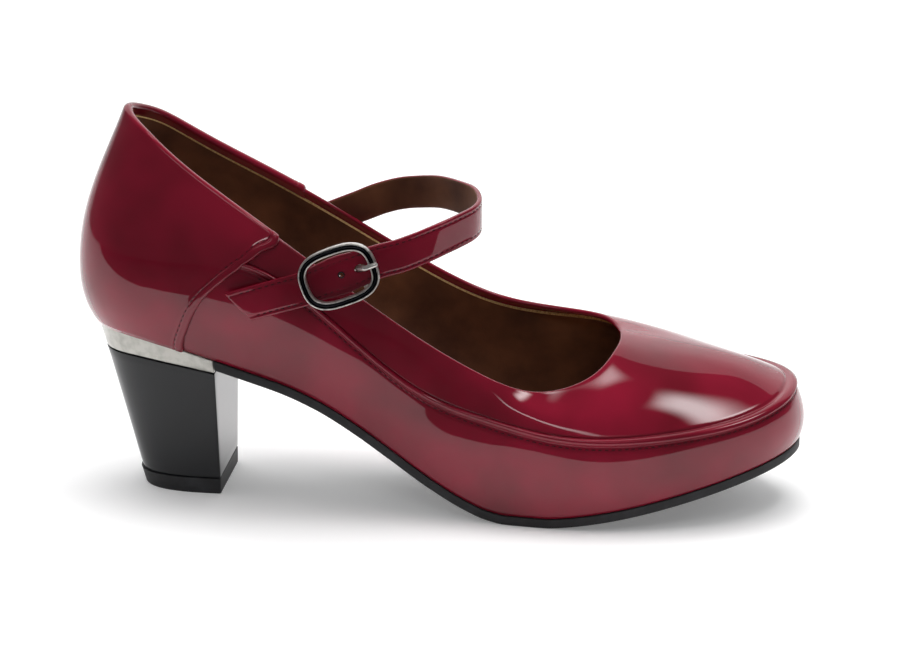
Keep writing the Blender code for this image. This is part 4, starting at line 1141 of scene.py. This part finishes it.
def make_buckle():
    """Oval frame with a hollow face, its bar under the strap, and the prong through the hole."""
    place, toe, up, out = (np.array(way) for way in strap_seat())
    strap_face = STRAP_THICK / 2
    low = strap_face + GAP
    half_length, half_height = (FRAME_LENGTH - FRAME_RIM) / 2, (FRAME_HEIGHT - FRAME_RIM) / 2
    rim = FRAME_RIM / 2
    half = np.array([half_length, half_height])

    def spot(across, rise, depth):
        return place + toe * across + up * rise + out * depth

    groove = 0.8 * MM
    outer_side = [(-1.0, 0.05), (-1.0, 0.45), (-0.98, 0.68), (-0.93, 0.84), (-0.85, 0.94), (-0.75, 0.99),
                  (-0.64, 1.0), (-0.55, 0.95), (-0.49, 0.84)]
    floor = [(x, 1 - groove / FRAME_DEPTH * cos(x / 0.45 * pi / 2 * 0.85)) for x in np.linspace(-0.42, 0.42, 7)]
    profile = outer_side + floor + [(-x, d) for x, d in outer_side[::-1]]
    base = [(0.85, 0.0), (-0.85, 0.0)]
    # The lips take the paler lip finish, a painted highlight on the gunmetal; the hollow groove keeps the gunmetal
    strips = np.ones(len(profile) + len(base), int)
    strips[len(outer_side) - 1:len(outer_side) + len(floor)] = 0
    ring_profile = [(x * rim, d * FRAME_DEPTH) for x, d in profile + base]
    rows = []
    for angle in np.linspace(0, 2 * pi, 161):
        ray = np.array([cos(angle), sin(angle)])
        ring = ray * (np.abs(ray / half) ** FRAME_POWER).sum() ** (-1 / FRAME_POWER)
        away = np.sign(ring) * np.abs(ring / half) ** (FRAME_POWER - 1) / half
        away /= np.linalg.norm(away)
        rows.append([spot(*(ring + away * radial), low + depth) for radial, depth in ring_profile])
    rows = np.array(rows).transpose(1, 0, 2)
    piece = skin("buckle_ring", wrapped(rows), [finish("metal"), finish("lip")], strips)
    sharpen(piece, 50)
    dress(piece, "buckle", "buckle_frame")

    bar_depth = -strap_face - GAP - BAR_DIAMETER / 2
    bar_end = half_height * (1 - (BAR_AT / half_length) ** FRAME_POWER) ** (1 / FRAME_POWER)
    inside = low + FRAME_DEPTH / 3
    bend = 0.8 * MM
    path = smooth_path([spot(BAR_AT, bar_end, inside), spot(BAR_AT, bar_end, bar_depth + 2 * bend),
                        spot(BAR_AT, bar_end - 0.3 * bend, bar_depth + 0.3 * bend),
                        spot(BAR_AT, bar_end - 2 * bend, bar_depth), spot(BAR_AT, 0, bar_depth),
                        spot(BAR_AT, -bar_end + 2 * bend, bar_depth),
                        spot(BAR_AT, -bar_end + 0.3 * bend, bar_depth + 0.3 * bend),
                        spot(BAR_AT, -bar_end, bar_depth + 2 * bend), spot(BAR_AT, -bar_end, inside)], 80)
    # The bar, like the prong below, takes the paler lip finish: a painted highlight on the gunmetal
    bar = tube("buckle_bar", path, np.full(80, BAR_DIAMETER / 2), toe, [finish("lip")])
    dress(bar, "buckle", "buckle_frame")

    over_frame = low + FRAME_DEPTH + 0.1 * MM + PRONG_DIAMETER / 2
    over_strap = strap_face + GAP + PRONG_DIAMETER / 2
    path = smooth_path([spot(BAR_AT - 0.1 * MM, 0, -strap_face), spot(BAR_AT + 0.3 * MM, 0, 0),
                        spot(BAR_AT + PRONG_DIAMETER, 0, over_strap),
                        spot(half_length - FRAME_RIM, 0, over_frame - 0.2 * PRONG_DIAMETER),
                        spot(half_length, 0, over_frame),
                        spot(FRAME_LENGTH / 2 + PRONG_OVERHANG, 0, over_frame - 0.2 * MM)], 60)
    share = np.linspace(0, 1, 60)
    radii = PRONG_DIAMETER / 2 * (1 - 0.25 * share) * np.sqrt(np.clip((1 - share) / 0.05, 0.05, 1))
    prong = tube("buckle_pin", path, radii, up, [finish("lip")])
    dress(prong, "buckle", "buckle_prong")


def sew(name, path, out):
    """Row of stitches along a path: one capsule, repeated by an array, then laid along the path."""
    path, out = np.asarray(path, float), np.asarray(out, float)
    run = run_length(path)
    count = max(2, int(run[-1] / sizes().stitch))
    middle = (np.arange(count) + 0.5) / count * run[-1]

    def at(values, places):
        return np.stack([np.interp(places, run, values[:, axis]) for axis in range(3)], 1)

    half = sizes().stitch * 0.36
    start, end = at(path, middle - half), at(path, middle + half)
    way = unit(end - start)
    up = at(out, middle)
    up = unit(up - (up * way).sum(1, keepdims=True) * way)
    side = np.cross(up, way)
    bpy.ops.object.select_all(action="DESELECT")
    bpy.ops.mesh.primitive_uv_sphere_add(segments=8, ring_count=6, radius=0.5, rotation=(0, pi / 2, 0))
    piece = bpy.context.object
    piece.name = piece.data.name = name
    bpy.ops.object.transform_apply(location=True, rotation=True, scale=True)
    template = np.empty((len(piece.data.vertices), 3))
    piece.data.vertices.foreach_get("co", template.reshape(-1))
    row = piece.modifiers.new("row", "ARRAY")
    row.count = count
    row.merge_threshold = 0.0
    row.relative_offset_displace = (2, 0, 0)
    bpy.ops.object.modifier_apply(modifier=row.name)
    thick = sizes().thread
    reach = sizes().stitch * 0.78
    blunt = np.sign(template[:, 0]) * (np.abs(template[:, 0]) * 2) ** 0.6 / 2
    points = (((start + end) / 2)[:, None] + way[:, None] * (blunt * reach)[None, :, None]
              + side[:, None] * (template[:, 1] * thick)[None, :, None]
              + up[:, None] * ((template[:, 2] + 0.05) * thick - 1.2 * (blunt * reach) ** 2 / MM * 0.25)[None, :, None])
    piece.data.vertices.foreach_set("co", points.reshape(-1).astype(np.float32))
    piece.data.materials.append(finish("thread"))
    select_only(piece)
    edit_all(face_outward)
    bpy.ops.object.shade_smooth()
    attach(piece, BODY)
    return piece


SEAM_STITCHES_BELOW = 2.35 * MM


def make_stitches():
    """Stitches under the raised seam, behind the counter's edges and along both edges of the strap."""
    rib = np.linspace(3.95, TURN - 3.95, 700)
    at_seam = size_of(climb(rib, np.full_like(rib, 0.498)))
    up = 0.5 - SEAM_STITCHES_BELOW / at_seam
    normal = outward(rib, up)
    path = form(rib, up)
    path = path + normal * (crease_height(path) + sizes().ridge * ridge_at(rib)
                            * seam_profile(np.full_like(rib, -SEAM_STITCHES_BELOW)))[:, None]
    sew("vamp_stitches", path, normal)
    rows = np.linspace(0.02, 0.97, 200)
    edge = smooth_table(rows, COUNTER_EDGE)
    for side, name in ((-1, "counter_stitches_inner"), (1, "counter_stitches_outer")):
        scale = size_of(form(side * edge + 0.02, rows) - form(side * edge - 0.02, rows)) / 0.04
        rib = side * (edge - STITCH_INSET / scale)
        normal = outward(rib, rows)
        path = form(rib, rows)
        lift = crease_height(path) + 0.04 * MM + counter_section(np.full_like(rows, STITCH_INSET))
        sew(name, path + normal * lift[:, None], normal)
    rows = strap_route()
    last = len(ROUTE) - 1
    for side, name in ((-1, "strap_stitches_lower"), (1, "strap_stitches_upper")):
        path, normals = [], []
        for station in np.linspace(ANCHOR_STITCHES, last - 0.55, 400):
            place, along, up, out = (np.array(way) for way in strap_frame(rows, station))
            slant = TIP_SLANT * np.clip((station - last + TIP_BLEND) / TIP_BLEND, 0, 1)
            across = side * (STRAP_WIDTH / 2 - 1.35 * MM)
            path.append(place + up * across + along * across * slant + out * (STRAP_THICK / 2 - 0.22 * MM))
            normals.append(out)
        sew(name, path, normals)
    place, along, up, out = (np.array(way) for way in strap_frame(rows, ANCHOR_STITCHES))
    reach = STRAP_WIDTH / 2 - 1.6 * MM
    path = [place + up * across + out * (STRAP_THICK / 2 - 0.05 * MM) for across in np.linspace(-reach, reach, 20)]
    sew("strap_stitches_anchor", path, [out] * len(path))


PAPER_FRONT = -0.17
PAPER_BACK = 0.75
PAPER_BEND = 0.45
PAPER_TOP = 2.7
PAPER_SIDE = 1.7
# Painted light: strengths of the paper's own emission, up the backdrop and on the floor
BACKDROP_GLOW = 0.8
FLOOR_GLOW = 0.18


def soft_lamp(name, place, aim, width, depth, power, mirrored):
    """Area lamp that fades towards its edges. One that isn't mirrored lights the shoe without showing in it."""
    light = bpy.data.lights.new(name, "AREA")
    light.shape = "RECTANGLE"
    light.size, light.size_y = width, depth
    light.energy = power
    light.use_nodes = True
    tree = light.node_tree
    spot = node(tree, "ShaderNodeSeparateXYZ", {"Vector": node(tree, "ShaderNodeNewGeometry").outputs["Parametric"]})
    fades = []
    for axis in ("X", "Y"):
        middle = node(tree, "ShaderNodeMath", {0: spot.outputs[axis], 1: 0.5}, operation="SUBTRACT")
        apart = node(tree, "ShaderNodeMath", {0: middle.outputs[0]}, operation="ABSOLUTE")
        fades.append(node(tree, "ShaderNodeMapRange", {"Value": apart.outputs[0], "From Min": 0.5, "From Max": 0.05,
                                                       "To Min": 0.0, "To Max": 1.0},
                          interpolation_type="SMOOTHSTEP"))
    product = node(tree, "ShaderNodeMath", {0: fades[0].outputs["Result"], 1: fades[1].outputs["Result"]},
                   operation="MULTIPLY")
    tree.links.new(product.outputs[0], tree.nodes["Emission"].inputs["Strength"])
    lamp = bpy.data.objects.new(name, light)
    lamp.location = place
    lamp.rotation_euler = (Vector(aim) - Vector(place)).to_track_quat("-Z", "Y").to_euler()
    lamp.visible_glossy = mirrored
    bpy.context.scene.collection.objects.link(lamp)


def lay_paper(name, profile, material):
    """Sheet across the studio along a profile of y and z."""
    points = np.array([[(x, y, z) for x in np.linspace(-PAPER_SIDE, PAPER_SIDE, 9)] for y, z in profile])
    bpy.ops.object.select_all(action="DESELECT")
    bpy.ops.mesh.primitive_grid_add(x_subdivisions=8, y_subdivisions=len(profile) - 1, size=1)
    sheet = bpy.context.object
    sheet.name = sheet.data.name = name
    sheet.data.vertices.foreach_set("co", points.reshape(-1).astype(np.float32))
    sheet.data.materials.append(finish(material))
    bpy.ops.object.shade_smooth()


def make_studio():
    """White sweep on a table, lamps over the shoe, and the camera at the photograph's angle."""
    scene = bpy.context.scene
    turn = np.linspace(0, pi / 2, 16)
    floor = -0.02 * MM
    profile = [(y, floor) for y in np.linspace(PAPER_FRONT, PAPER_BACK, 12)]
    profile += [(PAPER_BACK + PAPER_BEND * sin(a), floor + PAPER_BEND * (1 - cos(a))) for a in turn[1:]]
    profile += [(PAPER_BACK + PAPER_BEND, z) for z in np.linspace(0.6, PAPER_TOP, 6)]
    lay_paper("studio_sweep", profile, "paper")
    lay_paper("studio_table", [(y, -2 * MM) for y in np.linspace(-1.6, PAPER_FRONT + 0.05, 6)], "table")

    soft_lamp("lamp_key", (0.05, 0.15, 1.25), (0.05, 0.1, 0), 1.8, 1.5, 51, False)
    soft_lamp("lamp_left", (-1.3, -0.1, 0.8), (0.05, 0, 0.05), 1.2, 1.2, 8, False)
    soft_lamp("lamp_right", (1.3, 0.0, 0.9), (0.05, 0, 0.05), 1.2, 1.2, 8, False)
    soft_lamp("lamp_over", (0.21, 0.2, 1.25), (0.05, 0.05, 0), 0.26, 0.26, 1.2, True)
    soft_lamp("lamp_side", (0.57, -0.02, 1.25), (0.05, 0.0, 0), 0.44, 0.28, 4.2, True)
    soft_lamp("lamp_front", (0.05, -0.85, 0.95), (0.05, 0.0, 0.05), 1.0, 0.16, 3.5, True)

    world = bpy.data.worlds.new("studio_air")
    world.use_nodes = True
    world.node_tree.nodes["Background"].inputs["Color"].default_value = (0.12, 0.12, 0.125, 1)
    world.node_tree.nodes["Background"].inputs["Strength"].default_value = 1.0
    scene.world = world
    scene.view_settings.view_transform = "Standard"
    scene.view_settings.exposure = 0.0

    azimuth, elevation = radians(6.5), radians(17.5)
    target = Vector((0.0867, 0.0, 0.0542))
    away = Vector((sin(azimuth) * cos(elevation), -cos(azimuth) * cos(elevation), sin(elevation)))
    data = bpy.data.cameras.new("photo_camera")
    data.lens = 122.4
    data.sensor_width = 36
    camera = bpy.data.objects.new("photo_camera", data)
    camera.location = target + away * 1.0
    camera.rotation_euler = away.to_track_quat("Z", "Y").to_euler()
    scene.collection.objects.link(camera)
    scene.camera = camera


class SHOE_OT_upper(bpy.types.Operator):
    """Patent upper with its raised seam, rolled topline and lining"""
    bl_idname = "shoe.upper"
    bl_label = "Upper"

    def execute(self, context):
        make_upper()
        return {"FINISHED"}


class SHOE_OT_counter(bpy.types.Operator):
    """Back panel with folded front edges"""
    bl_idname = "shoe.counter"
    bl_label = "Counter"

    def execute(self, context):
        make_counter()
        return {"FINISHED"}


class SHOE_OT_soles(bpy.types.Operator):
    """Outsole and the sock inside"""
    bl_idname = "shoe.soles"
    bl_label = "Outsole and insole"

    def execute(self, context):
        make_outsole()
        make_insole()
        return {"FINISHED"}


class SHOE_OT_heel(bpy.types.Operator):
    """Heel band, block and top lift"""
    bl_idname = "shoe.heel"
    bl_label = "Heel"

    def execute(self, context):
        make_heel()
        return {"FINISHED"}


class SHOE_OT_strap(bpy.types.Operator):
    """Strap over the instep"""
    bl_idname = "shoe.strap"
    bl_label = "Strap"

    def execute(self, context):
        make_strap()
        return {"FINISHED"}


class SHOE_OT_buckle(bpy.types.Operator):
    """Buckle frame, bar and pin"""
    bl_idname = "shoe.buckle"
    bl_label = "Buckle"

    def execute(self, context):
        make_buckle()
        return {"FINISHED"}


class SHOE_OT_stitches(bpy.types.Operator):
    """Rows of stitches on the upper, counter and strap"""
    bl_idname = "shoe.stitches"
    bl_label = "Stitches"

    def execute(self, context):
        make_stitches()
        return {"FINISHED"}


class SHOE_OT_studio(bpy.types.Operator):
    """White sweep, softboxes and camera"""
    bl_idname = "shoe.studio"
    bl_label = "Studio"

    def execute(self, context):
        make_studio()
        return {"FINISHED"}


OPERATORS = (SHOE_OT_studio, SHOE_OT_upper, SHOE_OT_counter, SHOE_OT_soles, SHOE_OT_heel, SHOE_OT_strap,
             SHOE_OT_buckle, SHOE_OT_stitches)


class SHOE_PT_panel(bpy.types.Panel):
    """Builds the shoe piece by piece"""
    bl_idname = "SHOE_PT_panel"
    bl_label = "Patent court shoe"
    bl_space_type = "VIEW_3D"
    bl_region_type = "UI"
    bl_category = "Shoe"

    def draw(self, context):
        for group in (context.scene.shoe_sizes, context.scene.shoe_colours):
            for name in group.bl_rna.properties.keys():
                if name not in ("rna_type", "name"):
                    self.layout.prop(group, name)
        for operator in OPERATORS:
            self.layout.operator(operator.bl_idname)


CLASSES = (ShoeSizes, ShoeColours, *OPERATORS, SHOE_PT_panel)


def register():
    for made in CLASSES:
        bpy.utils.register_class(made)
    bpy.types.Scene.shoe_sizes = bpy.props.PointerProperty(type=ShoeSizes)
    bpy.types.Scene.shoe_colours = bpy.props.PointerProperty(type=ShoeColours)


def unregister():
    del bpy.types.Scene.shoe_sizes
    del bpy.types.Scene.shoe_colours
    for made in reversed(CLASSES):
        bpy.utils.unregister_class(made)


def main():
    register()
    bpy.ops.shoe.studio()
    bpy.ops.shoe.upper()
    bpy.ops.shoe.counter()
    bpy.ops.shoe.soles()
    bpy.ops.shoe.heel()
    bpy.ops.shoe.strap()
    bpy.ops.shoe.buckle()
    bpy.ops.shoe.stitches()


if __name__ == "__main__":
    main()
